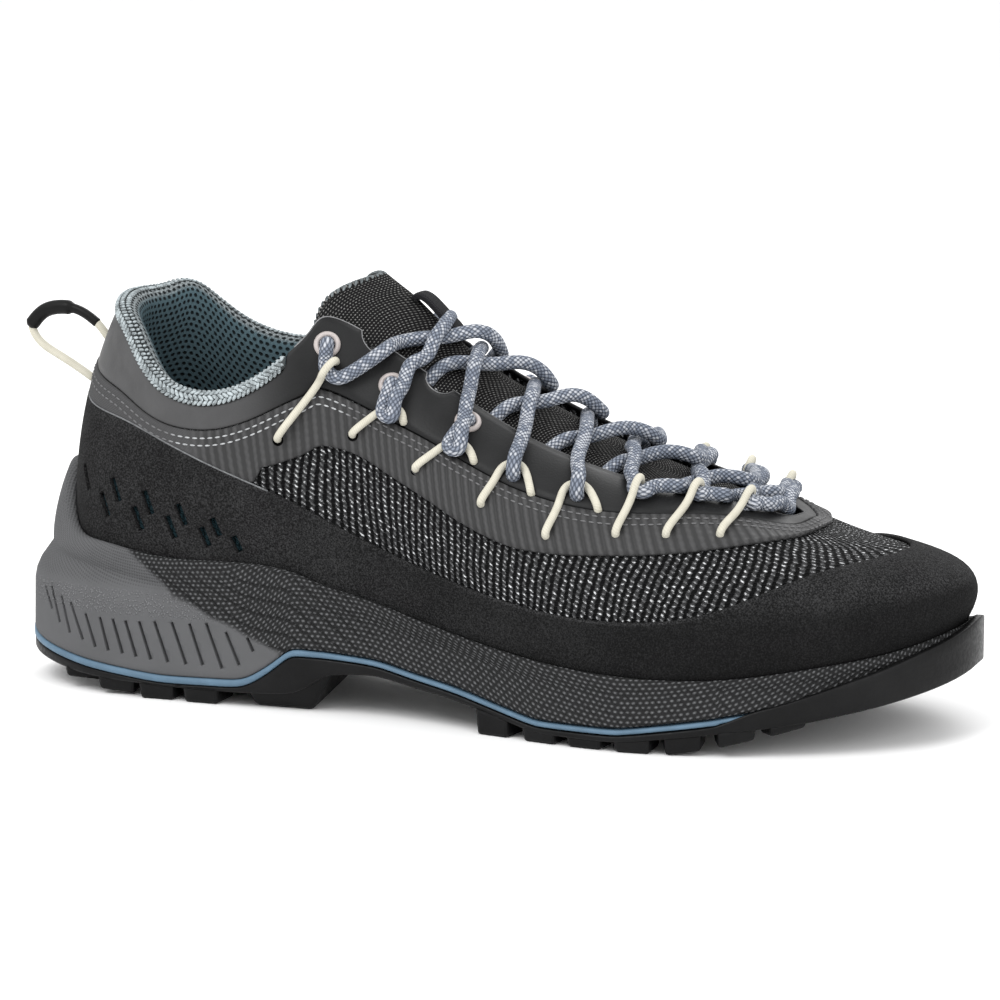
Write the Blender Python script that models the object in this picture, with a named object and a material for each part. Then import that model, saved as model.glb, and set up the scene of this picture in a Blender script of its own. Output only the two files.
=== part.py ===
import math

import bmesh
import bpy
import numpy as np
from mathutils import Matrix, Vector

# driving sizes in metres
LENGTH = 0.2775
BALL_WIDTH = 0.098
INSTEP_HEIGHT = 0.102
HEEL_HEIGHT = 0.111
GAP = 0.0003
WALL = 0.0016
RAND = 0.0012
FILM = 0.0011
PANEL = 0.0008
RIM = 0.0018
EDGE_LINE = 0.0016
CORD = 0.0011
LACE = 0.0020

# sample size that the pattern tables are drawn in, millimetres
SAMPLE_LENGTH = 277.5
SAMPLE_BALL = 98.0
SAMPLE_INSTEP = 102.0
SAMPLE_HEEL = 111.0

# one row a section from heel to toe, in sample millimetres: sole edge, sole levels,
# feather line, top line, then the shape of the profile and the heights of its seams
NAMES = ("steps ex el em blue plate wrap wall ledge cut fx fl fm fz tx tl tm tz tmz "
         "bulge rise reach drop rim rand low top").split()
SECTIONS = {
    "heel_back": (2, -37, 0, 0, 17.5, 10.5, 0, 0, 36, 5.5,
                  -17, 0, 0, 27, -8, 0, 0, 110, 110, 11, 23, 12.5, 21, 62, 84, 85, 93),
    "heel_round": (2, -31, 19.5, 18.5, 13, 8, 0, 0, 34.5, 4.0,
                   -13, 14, 13.5, 27, -5, 13.5, 13.5, 107.5, 110, 11, 22, 8, 21, 48, 81.5, 82.5, 89.5),
    "heel_side": (2, -10, 32, 31, 9.3, 5, 0, 0, 32, 2.0,
                  -2, 24.5, 23.5, 27, 2, 21.5, 21.5, 101.5, 110, 9, 21, 4, 21, 43.5, 79, 80, 85.5),
    "heel": (2, 15, 35, 33, 6.9, 4, 0, 0, 29, 1.0,
             16, 28, 26.5, 27, 14, 29, 27.5, 89.5, 100.0, 6, 20, 2.5, 20, 41, 74.5, 75.5, 79),
    "breast": (2, 40, 35.5, 31, 7.5, 4, 0, 0, 27, 0.6,
               38, 29, 25.5, 26, 33, 30.5, 28.5, 86.5, 94.5, 5, 20, 2.5, 18, 41, 66.5, 67.5, 78),
    "arch": (2, 55, 36, 29.5, 17.8, 5, 0, 0, 28, 0.5,
             55, 29.5, 24.5, 25, 51, 27, 25, 97, 99.5, 6, 20, 3, 18, 39.5, 59.5, 70, 85.5),
    "flap": (1, 67, 36.5, 29, 17.8, 11.5, 0, 0, 27, 0.5,
             67, 30.5, 24.5, 24, 60.5, 20.5, 21, 107, 108, 7, 20, 7, 16, 36, 54.5, 74.5, 89.5),
    "waist": (2, 80, 37, 29, 17, 12.5, 0, 0, 25, 0.5,
              80, 31.5, 24.5, 23, 70, 17, 20, 102.5, 105, 8, 19, 12, 12, 33.5, 50, 72.5, 86),
    "instep": (2, 105, 41, 31, 12.2, 8.5, 0, 0, 20, 0.5,
               105, 36, 26.5, 21, 92, 17, 20.5, 90, 94, 11, 17, 17, 10, 28, 43, 62.5, 77.5),
    "joint_back": (3, 130, 47, 36.5, 6.2, 2.6, 0, 0, 15, 0.4,
                   130, 42, 31.5, 19, 115, 19, 22.5, 78, 81.5, 11, 15, 19, 8, 23.5, 37.5, 52.5, 67.5),
    "joint": (3, 155, 50.5, 43, 6.3, 2.6, 0, 0, 14, 0.4,
              155, 45.5, 38, 17.5, 140, 20.5, 24.5, 69.5, 71.5, 9, 14, 19, 5.5, 21, 35, 51, 61.5),
    "toe_base": (3, 182, 47.5, 46.5, 10.5, 6.3, 9.5, 0.0, 16.5, 0.3,
                 181, 42.5, 41.5, 18.5, 163, 18.5, 23, 64.0, 64.5, 10, 14, 20, 5, 21.5, 38, 52.5, 60.5),
    "toe_side": (2, 207.5, 37.5, 43.5, 15, 9.8, 17.5, 1.6, 20, 0.2,
                 203, 32.5, 38.5, 20.5, 179, 14, 19, 61.0, 60.0, 13, 18, 20, 6, 24.5, 45.5, 54.5, 58.8),
    "toe_round": (2, 229.5, 20, 33, 20, 14.8, 26, 2.2, 24, 0.1,
                  222, 16.5, 28, 24.5, 188, 6.5, 12, 57.6, 56.6, 15, 22, 23, 9, 27.8, 48.6, 54.4, 56.0),
    "toe_tip": (2, 240.5, -6, 6, 24.5, 20.0, 33, 2.3, 28, 0.0,
                233, -6, 6, 28.5, 191, -3, 3, 57.0, 57.0, 16, 23, 26, 11, 31.5, 49.2, 54.6, 56.0),
}

# height of the tread under the foot: sample x and z
TREAD = ((-36, 7.5), (-30, 6.0), (-17, 3.6), (-6, 1.6), (8, 0.0), (170, 0.0), (180, 2.0),
         (193, 5.2), (207, 9.0), (239, 19.0))

# crown of the tongue beside each throat section: x, y, z
CROWN = {
    "toe_round": (190, 3, 54.5),
    "toe_side": (180, 3, 57.8),
    "toe_base": (165, 3.5, 63.0),
    "joint": (143, 4, 70.5),
    "joint_back": (120, 4, 82.0),
    "instep": (99.5, 3, 93.5),
    "waist": (82, 2, 107.5),
    "flap": (75, 2, 114.0),
}

# lace stations: sample x and z where the cord leaves the film, then of its top
STATIONS = ((50, 76, 63.5, 94.5), (72, 78, 82.5, 84.0), (92, 70, 102, 75.5), (112, 62, 118.5, 70.5),
            (132, 55, 137, 66.0), (150.5, 56, 152, 64.5), (163.5, 56, 166.5, 63.0), (177, 56, 179, 61.0))
EYELETS = ((61.5, 101.5), (80.5, 90.8), (102.5, 81.5))

# vent slots of the heel counter: sample x and z
SLOTS = ((-15, 60.3), (-2, 58.0), (-6, 53.6), (10, 55.9), (7, 51.0), (21, 53.2), (18, 49.0),
         (32, 50.5), (29, 46.6), (39, 45.8))

# loop at the back of the heel, sample x and z
PULL = ((-16.4, 97.7), (-19.7, 101.5), (-25.2, 104.8), (-31.2, 105.6), (-36.8, 104.0), (-40.4, 100.4),
        (-38.8, 96.2), (-33.2, 92.2), (-26.6, 88.6), (-21.5, 85.5))

COLORS = {
    "outsole": ((0.022, 0.022, 0.024), 0.75), "outsole_edge_line": ((0.36, 0.45, 0.55), 0.5),
    "midsole": ((0.12, 0.125, 0.13), 0.8), "insole": ((0.05, 0.06, 0.07), 0.9),
    "upper": ((0.03, 0.03, 0.032), 0.9), "rand": ((0.018, 0.018, 0.019), 0.95),
    "eyestay": ((0.05, 0.051, 0.053), 0.55), "collar_panel": ((0.06, 0.061, 0.063), 0.5),
    "collar_lining": ((0.11, 0.17, 0.2), 0.95), "tongue": ((0.035, 0.036, 0.038), 0.9),
    "tongue_keeper": ((0.02, 0.02, 0.021), 0.85), "lace": ((0.17, 0.22, 0.3), 0.8),
    "pull_loop": ((0.7, 0.66, 0.55), 0.7), "pull_loop_sleeve": ((0.02, 0.02, 0.02), 0.5),
    "loop": ((0.7, 0.66, 0.55), 0.7), "eyelet": ((0.6, 0.56, 0.55), 0.5),
}


def natural(knots, values, at):
    """Cubic spline through the rows of values, free at both ends."""
    knots, values = np.asarray(knots, float), np.asarray(values, float)
    n = len(knots)
    step = np.diff(knots)
    slope = np.diff(values, axis=0) / step[:, None]
    system = np.eye(n)
    right = np.zeros_like(values)
    for i in range(1, n - 1):
        system[i, i - 1:i + 2] = step[i - 1], 2 * (step[i - 1] + step[i]), step[i]
        right[i] = 6 * (slope[i] - slope[i - 1])
    bend = np.linalg.solve(system, right)
    at = np.atleast_1d(np.asarray(at, float))
    k = np.clip(np.searchsorted(knots, at, side="right") - 1, 0, n - 2)
    h = step[k][:, None]
    a = (knots[k + 1] - at)[:, None] / h
    b = 1 - a
    curve = ((a ** 3 - a) * bend[k] + (b ** 3 - b) * bend[k + 1]) * h * h / 6
    return a * values[k] + b * values[k + 1] + curve


def around(knots, values, at, period):
    """Cubic spline through the rows of values that closes on itself."""
    values = np.asarray(values, float)
    knots = np.asarray(knots, float)
    pad = 4
    wide = np.concatenate((knots[-pad:] - period, knots, knots[:pad] + period))
    rows = np.concatenate((values[-pad:], values, values[:pad]))
    return natural(wide, rows, np.mod(at, period))


def grade(x, y, z):
    """Sample millimetres to metres at the driving sizes."""
    x, y, z = np.broadcast_arrays(*(np.asarray(v, float) for v in (x, y, z)))
    along = np.clip(x / 120.0, 0.0, 1.0)
    tall = HEEL_HEIGHT / SAMPLE_HEEL * (1 - along) + INSTEP_HEIGHT / SAMPLE_INSTEP * along
    return np.stack((x * LENGTH / SAMPLE_LENGTH, y * BALL_WIDTH / SAMPLE_BALL, z * tall), -1)


# all sections once round the foot: lateral side to the toe, medial side back
ORDER = list(SECTIONS)
LAST = len(ORDER) - 1
table = {name: dict(zip(NAMES, row)) for name, row in SECTIONS.items()}
ring_rows = []
for i, name in enumerate(ORDER):
    r = table[name]
    ring_rows.append(dict(r, ey=-r["el"], fy=-r["fl"], ty=-r["tl"]))
for name in ORDER[LAST - 1:0:-1]:
    r = table[name]
    lift = (r["tmz"] - r["fz"]) / (r["tz"] - r["fz"])
    high = {key: r["fz"] + (r[key] - r["fz"]) * lift for key in ("rand", "low", "top")}
    ring_rows.append(dict(r, ey=r["em"], fy=r["fm"], ty=r["tm"], tz=r["tmz"], **high))
COUNT = len(ring_rows)

# even steps inside every interval give the columns of all lofted pieces
column_at = []
for i in range(COUNT):
    steps = table[ORDER[i]]["steps"] if i < LAST else table[ORDER[COUNT - i - 1]]["steps"]
    column_at += [i + s / steps for s in range(steps)]
column_at = np.array(column_at)
N = len(column_at)
HALF = N // 2


def rows_at(*names):
    values = [[row[key] for key in names] for row in ring_rows]
    return around(np.arange(COUNT), values, column_at, COUNT).T


def straight_rows(*names):
    values = [[row[key] for key in names] for row in ring_rows + ring_rows[:1]]
    return np.array([np.interp(column_at, np.arange(COUNT + 1), v) for v in zip(*values)])


ex, ey = rows_at("ex", "ey")
fx, fy, fz = rows_at("fx", "fy", "fz")
tx, ty, tz = rows_at("tx", "ty", "tz")
bulge, rise, reach, drop = rows_at("bulge", "rise", "reach", "drop") * 0.001
EDGE = grade(ex, ey, 0)
FEATHER = grade(fx, fy, fz)
TOPLINE = grade(tx, ty, tz)


def outward(points):
    """Level unit direction that points away from the foot, one a column."""
    along = np.roll(points, -1, axis=0) - np.roll(points, 1, axis=0)
    out = np.stack((along[:, 1], -along[:, 0], np.zeros(N)), -1)
    return out / np.linalg.norm(out, axis=1)[:, None]


UP = np.array((0.0, 0.0, 1.0))
edge_out = outward(EDGE)
foot_out = outward(FEATHER)
top_out = foot_out + outward(TOPLINE)
top_out /= np.linalg.norm(top_out, axis=1)[:, None]
CAGE = np.stack((FEATHER, FEATHER + foot_out * bulge[:, None] + UP * rise[:, None],
                 TOPLINE + top_out * reach[:, None] - UP * drop[:, None], TOPLINE))


def bezier(cage, v):
    v = np.asarray(v, float)[..., None]
    return ((1 - v) ** 3 * cage[0] + 3 * (1 - v) ** 2 * v * cage[1]
            + 3 * (1 - v) * v ** 2 * cage[2] + v ** 3 * cage[3])


def bezier_slope(cage, v):
    v = np.asarray(v, float)[..., None]
    return 3 * ((1 - v) ** 2 * (cage[1] - cage[0]) + 2 * (1 - v) * v * (cage[2] - cage[1])
                + v ** 2 * (cage[3] - cage[2]))


def cage_at(column):
    flat = CAGE.transpose(1, 0, 2).reshape(N, 12)
    return around(np.arange(N), flat, column, N).reshape(-1, 4, 3).transpose(1, 0, 2)


def last_surface(column, v, off=0.0):
    """Point and outward normal of the last's skin at any column and profile position."""
    column = np.atleast_1d(np.asarray(column, float))
    v = np.broadcast_to(np.asarray(v, float), column.shape)
    cage = cage_at(column)
    du = bezier(cage_at(column + 0.5), v) - bezier(cage_at(column - 0.5), v)
    normal = np.cross(du, bezier_slope(cage, v))
    normal /= np.linalg.norm(normal, axis=1)[:, None]
    return bezier(cage, v) + normal * np.reshape(off, (-1, 1)), normal


def skin(v, off=0.0):
    return last_surface(np.arange(N), v, off)[0]


def level(column, height):
    """Profile position where the skin reaches a height."""
    cage = cage_at(column)
    low, high = np.zeros(len(column)), np.ones(len(column)) * 1.2
    for _ in range(40):
        middle = (low + high) / 2
        below = bezier(cage, middle)[:, 2] < height
        low, high = np.where(below, middle, low), np.where(below, high, middle)
    return (low + high) / 2


def below_top(distance):
    """Profile position a given distance under (or past) the top line."""
    speed = np.linalg.norm(bezier_slope(CAGE, np.ones(N)), axis=1)
    return 1 - np.broadcast_to(distance, (N,)) / speed


def seam(name):
    height = rows_at(name)[0]
    return level(np.arange(N), grade(bezier(CAGE, 0.6)[:, 0] * 1000, 0, height)[:, 2])


rim_v, rand_v, low_v, top_v = (seam(name) for name in ("rim", "rand", "low", "top"))
low_v = np.maximum(low_v, rand_v + 0.012)
top_v = np.minimum(top_v, below_top(0.0012))
low_v = np.minimum(low_v, top_v - 0.02)


def between(a, b, steps):
    return [a + (b - a) * k / steps for k in range(steps + 1)]


RISE = (between(0 * rim_v, rim_v, 1) + between(rim_v, rand_v, 3)[1:]
        + between(rand_v, low_v, 2)[1:] + between(low_v, top_v, 2)[1:]
        + between(top_v, 1 + 0 * top_v, 2)[1:])


def shell(v, off=0.0):
    """Point on the facets between the shell's rows, which every layer on it follows."""
    v = np.broadcast_to(v, (N,))
    result = skin(RISE[-1], off) + (v - RISE[-1])[:, None] * bezier_slope(CAGE, np.ones(N))
    for low, high in reversed(list(zip(RISE, RISE[1:]))):
        share = ((v - low) / (high - low))[:, None]
        chord = skin(low, off) * (1 - share) + skin(high, off) * share
        result = np.where((v <= high)[:, None], chord, result)
    return result


def column_of(position, side):
    """Column number of a section position on the lateral (-1) or medial (1) side."""
    at = np.interp(position, column_at, np.arange(N))
    return at if side < 0 else N - at


def side_heights(position, height, side):
    """Height on the medial side of a seam that is known on the lateral side."""
    if side < 0:
        return height + 0 * position
    span = [[table[name][key] for name in ORDER] for key in ("fz", "tz", "tmz")]
    foot, lateral, medial = (np.interp(position, np.arange(LAST + 1), values) for values in span)
    return foot + (height - foot) * (medial - foot) / (lateral - foot)


def on_skin(x, height, side, off):
    """Point, normal, column and section position of a spot given by sample x and z."""
    columns = np.arange(HALF + 1.0)
    position = column_at[:HALF + 1]
    around_foot = columns if side < 0 else N - columns
    z = grade(x, 0, side_heights(position, height, side))[:, 2]
    xs = last_surface(around_foot, level(around_foot, z))[0][:, 0]
    column = float(np.interp(grade(x, 0, 0)[0], xs, around_foot))
    section = float(np.interp(column if side < 0 else N - column, columns, position))
    v = level([column], grade(x, 0, side_heights(section, height, side))[2])
    point, normal = last_surface(column, v, off)
    return Vector(point[0]), Vector(normal[0]), column, section


# scene objects
for old in list(bpy.data.objects):
    bpy.data.objects.remove(old, do_unlink=True)
shoe = bpy.data.collections.new("approach_shoe")
cutters = bpy.data.collections.new("cutters")
bpy.context.scene.collection.children.link(shoe)
bpy.context.scene.collection.children.link(cutters)


def material(name, key):
    color, rough = COLORS[key]
    mat = bpy.data.materials.new(name)
    mat.use_nodes = True
    shader = mat.node_tree.nodes["Principled BSDF"]
    shader.inputs["Base Color"].default_value = (*color, 1.0)
    shader.inputs["Roughness"].default_value = rough
    return mat


def add_object(name, mesh, key):
    obj = bpy.data.objects.new(name, mesh)
    shoe.objects.link(obj)
    mesh.materials.append(material(name, key))
    mesh.shade_smooth()
    mesh.set_sharp_from_angle(angle=math.radians(40))
    return obj


def mesh_from(bm, name):
    bmesh.ops.recalc_face_normals(bm, faces=bm.faces)
    mesh = bpy.data.meshes.new(name)
    bm.to_mesh(mesh)
    bm.free()
    return mesh


def strip(bm, a, b, count):
    """Triangles between two rows, with the same diagonals on rising and falling sides."""
    falling = sum(v.co.z for v in b) < sum(v.co.z for v in a)
    for i in range(count):
        j = (i + 1) % len(a)
        if falling:
            bm.faces.new((a[i], a[j], b[i]))
            bm.faces.new((a[j], b[j], b[i]))
        else:
            bm.faces.new((a[i], a[j], b[j]))
            bm.faces.new((a[i], b[j], b[i]))


def band(name, rows, key, closed=True):
    """Closed solid from rows that run round the foot; the rows make a closed section."""
    bm = bmesh.new()
    grid = [[bm.verts.new(p) for p in row] for row in rows]
    count = len(grid[0]) if closed else len(grid[0]) - 1
    for a, b in zip(grid, grid[1:] + grid[:1]):
        strip(bm, a, b, count)
    if not closed:
        for end in ([row[0] for row in grid], [row[-1] for row in grid]):
            back = list(reversed(end))
            for k in range((len(end) - 1) // 2):
                bm.faces.new((end[k], end[k + 1], back[k]))
                if end[k + 1] != back[k + 1]:
                    bm.faces.new((end[k + 1], back[k + 1], back[k]))
    return add_object(name, mesh_from(bm, name), key)


def slab(name, rows, key):
    """Closed solid from rings round the foot, with both ends closed across the foot."""
    bm = bmesh.new()
    grid = [[bm.verts.new(p) for p in row] for row in rows]
    for a, b in zip(grid, grid[1:]):
        strip(bm, a, b, N)
    for row in (grid[0], grid[-1]):
        bm.faces.new((row[0], row[1], row[-1]))
        bm.faces.new((row[HALF], row[HALF - 1], row[HALF + 1]))
        for i in range(1, HALF - 1):
            bm.faces.new((row[i], row[i + 1], row[N - i - 1]))
            bm.faces.new((row[i], row[N - i - 1], row[N - i]))
    return add_object(name, mesh_from(bm, name), key)


def cutter(name, bm):
    obj = bpy.data.objects.new(name, mesh_from(bm, name))
    cutters.objects.link(obj)
    obj.hide_render = True
    obj.display_type = "WIRE"
    return obj


def boolean(obj, tool, operation):
    mod = obj.modifiers.new(tool.name, "BOOLEAN")
    mod.operation = operation
    mod.solver = "EXACT"
    mod.object = tool


def frame_at(point, normal, along=Vector((1, 0, 0))):
    """Matrix whose Z is the normal and whose X leans along the given direction."""
    z = Vector(normal).normalized()
    x = (along - z * along.dot(z)).normalized()
    y = z.cross(x)
    rotation = Matrix((x, y, z)).transposed().to_4x4()
    return Matrix.Translation(point) @ rotation


def tube(name, points, radius, key, resolution=1):
    """Cord with filled caps, made a mesh with welded ends."""
    curve = bpy.data.curves.new(name, "CURVE")
    curve.dimensions = "3D"
    curve.bevel_depth = radius
    curve.bevel_resolution = resolution
    curve.use_fill_caps = True
    spline = curve.splines.new("POLY")
    spline.points.add(len(points) - 1)
    for target, p in zip(spline.points, points):
        target.co = (*p, 1.0)
    guide = bpy.data.objects.new(name + "_guide", curve)
    cutters.objects.link(guide)
    bpy.context.view_layer.update()
    solid = guide.evaluated_get(bpy.context.evaluated_depsgraph_get())
    mesh = bpy.data.meshes.new_from_object(solid)
    bpy.data.objects.remove(guide, do_unlink=True)
    bm = bmesh.new()
    bm.from_mesh(mesh)
    bmesh.ops.remove_doubles(bm, verts=bm.verts, dist=0.00001)
    bpy.data.meshes.remove(mesh)
    if key is None:
        return bm
    return add_object(name, mesh_from(bm, name), key)


def smooth_path(points, per_span):
    points = np.array([tuple(p) for p in points])
    knots = np.concatenate(((0,), np.cumsum(np.linalg.norm(np.diff(points, axis=0), axis=1))))
    at = np.concatenate([np.linspace(a, b, per_span, endpoint=False)
                         for a, b in zip(knots, knots[1:])] + [knots[-1:]])
    return natural(knots, points, at)


# sole levels, one a column
blue, plate, wrap, wall, ledge, cut = 0.001 * straight_rows(
    "blue", "plate", "wrap", "wall", "ledge", "cut")
wall[wall < 0.0004] = 0.0
line_top = blue
line_low = blue - EDGE_LINE
shelf = line_low - GAP
wrap = np.where(wall > 0, np.maximum(wrap, line_top + 0.0006), shelf)


def sole_ring(inset, z):
    ring = EDGE - edge_out * np.broadcast_to(inset, (N,))[:, None]
    ring[:, 2] = z
    return ring


# outsole plate with the wrap over the toe
inner = np.where(wall > 0, wall, 0.0002)
shelf_edge = np.where(wall > 0, wall + 0.0003, 0.0004)
outsole = slab("outsole", [
    sole_ring(0.0020, plate), sole_ring(0.0, plate + 0.0007), sole_ring(0.0, wrap),
    sole_ring(inner, wrap), sole_ring(shelf_edge, shelf)], "outsole")


def sole_height(x, key):
    xs = [table[name]["ex"] for name in ORDER]
    return float(np.interp(x, xs, [table[name][key] for name in ORDER]))


def tread_height(x):
    return float(np.interp(x, [p[0] for p in TREAD], [p[1] for p in TREAD]))


def lug(bm, x, y, long, wide, turn=0.0, taper=0.94, flat=False):
    """Tapered block from inside the plate down to the tread level."""
    made = bmesh.ops.create_cube(bm, size=1.0)["verts"]
    c, s = math.cos(math.radians(turn)), math.sin(math.radians(turn))
    for v in made:
        foot = taper if v.co.z < 0 else 1.0
        dx, dy = v.co.x * long * foot, v.co.y * wide * foot
        px, py = x + dx * c - dy * s, y + dx * s + dy * c
        low = v.co.z < 0
        down = 0.0 if flat else tread_height(px)
        v.co = Vector(grade(px, py, down if low else sole_height(px, "plate") + 0.8))


def edge_y(x, side):
    """Sole edge beside a station, sample millimetres."""
    xs = [table[name]["ex"] for name in ORDER]
    return float(np.interp(x, xs, [table[name]["el" if side < 0 else "em"] for name in ORDER])) * side


bm = bmesh.new()
for x, y, long, wide in ((0, 0, 15, 15), (22, 0, 12, 17), (-20, 0, 11, 16)):
    lug(bm, x, y, long, wide, flat=x > -10)
for side in (-1, 1):
    for x, turn in ((-15, 28), (-1, 10), (13, 2), (27, 0)):
        inset = edge_y(x, side) - side * 6.8
        lug(bm, x, inset, 10.5, 12.5, -side * turn)
    for x, turn in ((118.5, -10), (133, -10), (146, -5), (159, 3), (172, 10), (185, 22), (197, 30)):
        inset = edge_y(x, side) - side * 5.9
        lug(bm, x, inset, 10.0, 11.5, -side * turn)
for x, row in ((128, (-20, -4, 12)), (141, (-24, -8, 8, 20)), (154, (-26, -9, 8, 24)),
               (167, (-26, -9, 8, 25)), (180, (-20, -4, 12, 27))):
    for y in row:
        lug(bm, x, y, 8.5, 9.0, 20)
lugs = cutter("tread_lugs", bm)
boolean(outsole, lugs, "UNION")

bm = bmesh.new()
block = bmesh.ops.create_cube(bm, size=1.0)["verts"]
for v in block:
    front, right, low = v.co.x > 0, v.co.y < 0, v.co.z < 0
    x = (60.0 if low else 67.0) if front else (42.5 if low else 40.5)
    x -= 10.0 if front and not right else 0.0
    y = (-33.5 if right else 27.5) * (0.94 if low else 1.0)
    top = sole_height(x, "plate") + 0.8
    v.co = Vector(grade(x, y, 0.0 if low else top))
breast = cutter("heel_breast", bm)
boolean(outsole, breast, "UNION")

# thin light layer between outsole and midsole
line_edge = np.where(wall > 0, wall + GAP * 2, 0.0004)
slab("outsole_edge_line", [sole_ring(line_edge, line_low), sole_ring(line_edge, line_top)],
     "outsole_edge_line")

# midsole cup
BED = GAP + RAND + GAP
foot_edge = np.where(wall > 0, wall + GAP * 1.5, 0.0)
rim_outer = skin(rim_v, BED + RIM + cut * 0.25)
cup_floor = skin(0 * rim_v, BED)
shoulder = sole_ring(foot_edge + cut, ledge + 0.002)
shoulder = np.where((wall > 0)[:, None], (sole_ring(foot_edge, ledge) + rim_outer) / 2, shoulder)
cove = (shoulder + rim_outer) / 2 + edge_out * (cut * 0.45)[:, None]
midsole = slab("midsole", [
    sole_ring(foot_edge + 0.0004, line_top + GAP), sole_ring(foot_edge, line_top + GAP + 0.0008),
    sole_ring(foot_edge + 0.0003, np.minimum(ledge - 0.0015, rim_outer[:, 2] - 0.003)),
    shoulder, cove, rim_outer, skin(rim_v, BED),
    cup_floor], "midsole")

# insole on the floor of the cup
bed = skin(0 * rim_v, -WALL - 0.0006)
bed_low, bed_top = bed.copy(), bed.copy()
bed_low[:, 2] = np.maximum(cup_floor[:, 2] + GAP, FEATHER[:, 2] - 0.0003)
bed_top[:, 2] = FEATHER[:, 2] + 0.0035
insole = slab("insole", [bed_low, bed_top], "insole")

# upper shell
upper = band("upper", [skin(v) for v in RISE] + [skin(v, -WALL) for v in reversed(RISE)], "upper")

# rand round the foot
rand_rows = [rim_v * 0.12] + RISE[1:4] + [rand_v - 0.002]
rand = band("rand", [shell(v, GAP + RAND) for v in rand_rows]
            + [shell(v, GAP) for v in reversed(rand_rows)], "rand")

# ribbed film round the throat
film_rows = RISE[6:9]
film = band("eyestay", [skin(v, GAP + FILM) for v in film_rows]
            + [skin(v, GAP) for v in reversed(film_rows)], "eyestay")

# smooth panel round the collar, which runs on as the lace facing
COLLAR_END = int(round(column_of(5, -1)))
is_collar = (np.arange(N) <= COLLAR_END) | (np.arange(N) >= N - COLLAR_END)
panel_low = top_v + 0.0004 / np.linalg.norm(bezier_slope(CAGE, top_v), axis=1)
panel_top = np.where(is_collar, below_top(0.0065), below_top(-0.0022))
panel_top[HALF - 2:HALF + 3] = below_top(-0.0006)[HALF - 2:HALF + 3]
hair = 0.004
panel_mid = np.clip(RISE[9], panel_low + hair, panel_top - 2 * hair)
panel_high = np.clip(RISE[10], panel_mid + hair, panel_top - hair)
panel_rows = [panel_low, panel_mid, panel_high, panel_top]
ends = np.abs(np.minimum(np.arange(N), N - np.arange(N)) - COLLAR_END - 0.5) < 1
rest = GAP + 0.0003 * ends
panel = band("collar_panel", [shell(v, rest + PANEL) for v in panel_rows]
             + [shell(v, rest) for v in reversed(panel_rows)], "collar_panel")

# scallops between the eyelets, eyelet holes, vent slots
bm_scallop, bm_holes, bm_slots = bmesh.new(), bmesh.new(), bmesh.new()
for side in (-1, 1):
    for a, b in zip(STATIONS, STATIONS[1:]):
        column = on_skin((a[2] + b[2]) / 2, (a[3] + b[3]) / 2, side, 0.0)[2]
        v = 1 + 0.0052 / np.linalg.norm(bezier_slope(cage_at(column), [1.0]))
        point, normal = last_surface(column, v, 0.0)
        bmesh.ops.create_cone(bm_scallop, cap_ends=True, segments=8, radius1=0.0048,
                              radius2=0.0048, depth=0.012, matrix=frame_at(point[0], normal[0]))
    for x, height in EYELETS:
        point, normal = on_skin(x, height, side, 0.0)[:2]
        bmesh.ops.create_cone(bm_holes, cap_ends=True, segments=10, radius1=0.0022,
                              radius2=0.0022, depth=0.010, matrix=frame_at(point, normal))
    for x, height in SLOTS:
        point, normal = on_skin(x, height, side, 0.0009)[:2]
        place = frame_at(point, normal, Vector((-0.35, 0, 1)))
        bmesh.ops.create_cube(bm_slots, size=1.0, matrix=place @ Matrix.Diagonal((0.0066, 0.0017, 0.006, 1)))
scallops = cutter("facing_scallops", bm_scallop)
holes = cutter("eyelet_holes", bm_holes)
slots = cutter("counter_slots", bm_slots)
boolean(panel, scallops, "DIFFERENCE")
boolean(panel, holes, "DIFFERENCE")
boolean(upper, holes, "DIFFERENCE")
boolean(rand, slots, "DIFFERENCE")

# padded lining that rolls over the collar edge
collar_columns = [(N - COLLAR_END + k) % N for k in range(2 * COLLAR_END + 1)]
edge_dir = bezier_slope(CAGE, np.ones(N))
edge_dir /= np.linalg.norm(edge_dir, axis=1)[:, None]


def roll(past, off):
    """Points past the top line (positive) or under it, off the skin."""
    return shell(below_top(min(-past, 0.006) if past < 0 else 0.0), off) + edge_dir * max(past, 0.0)


fade = np.clip(np.abs(np.minimum(np.arange(N), N - np.arange(N)) - COLLAR_END) / 3.0, 0.25, 1.0)
pad_rows = [roll(-0.006, GAP + 0.0011), roll(0, GAP + 0.0013), roll(0.0018, 0.0), roll(0.0021, -0.0026),
            roll(0.0005, -WALL - GAP - 0.0036)]
pad_rows += [skin(RISE[k], -WALL - GAP - thick * fade) for k, thick in
             ((9, 0.0058), (8, 0.0048), (7, 0.0030), (6, 0.0009))]
pad_rows += [skin(RISE[k], -WALL - GAP) for k in (6, 7, 8, 9, 10)]
pad_rows += [roll(0.0004, -WALL - GAP), roll(0.0004, GAP), roll(-0.006, GAP)]
band("collar_lining", [row[collar_columns] for row in pad_rows], "collar_lining", closed=False)

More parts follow.
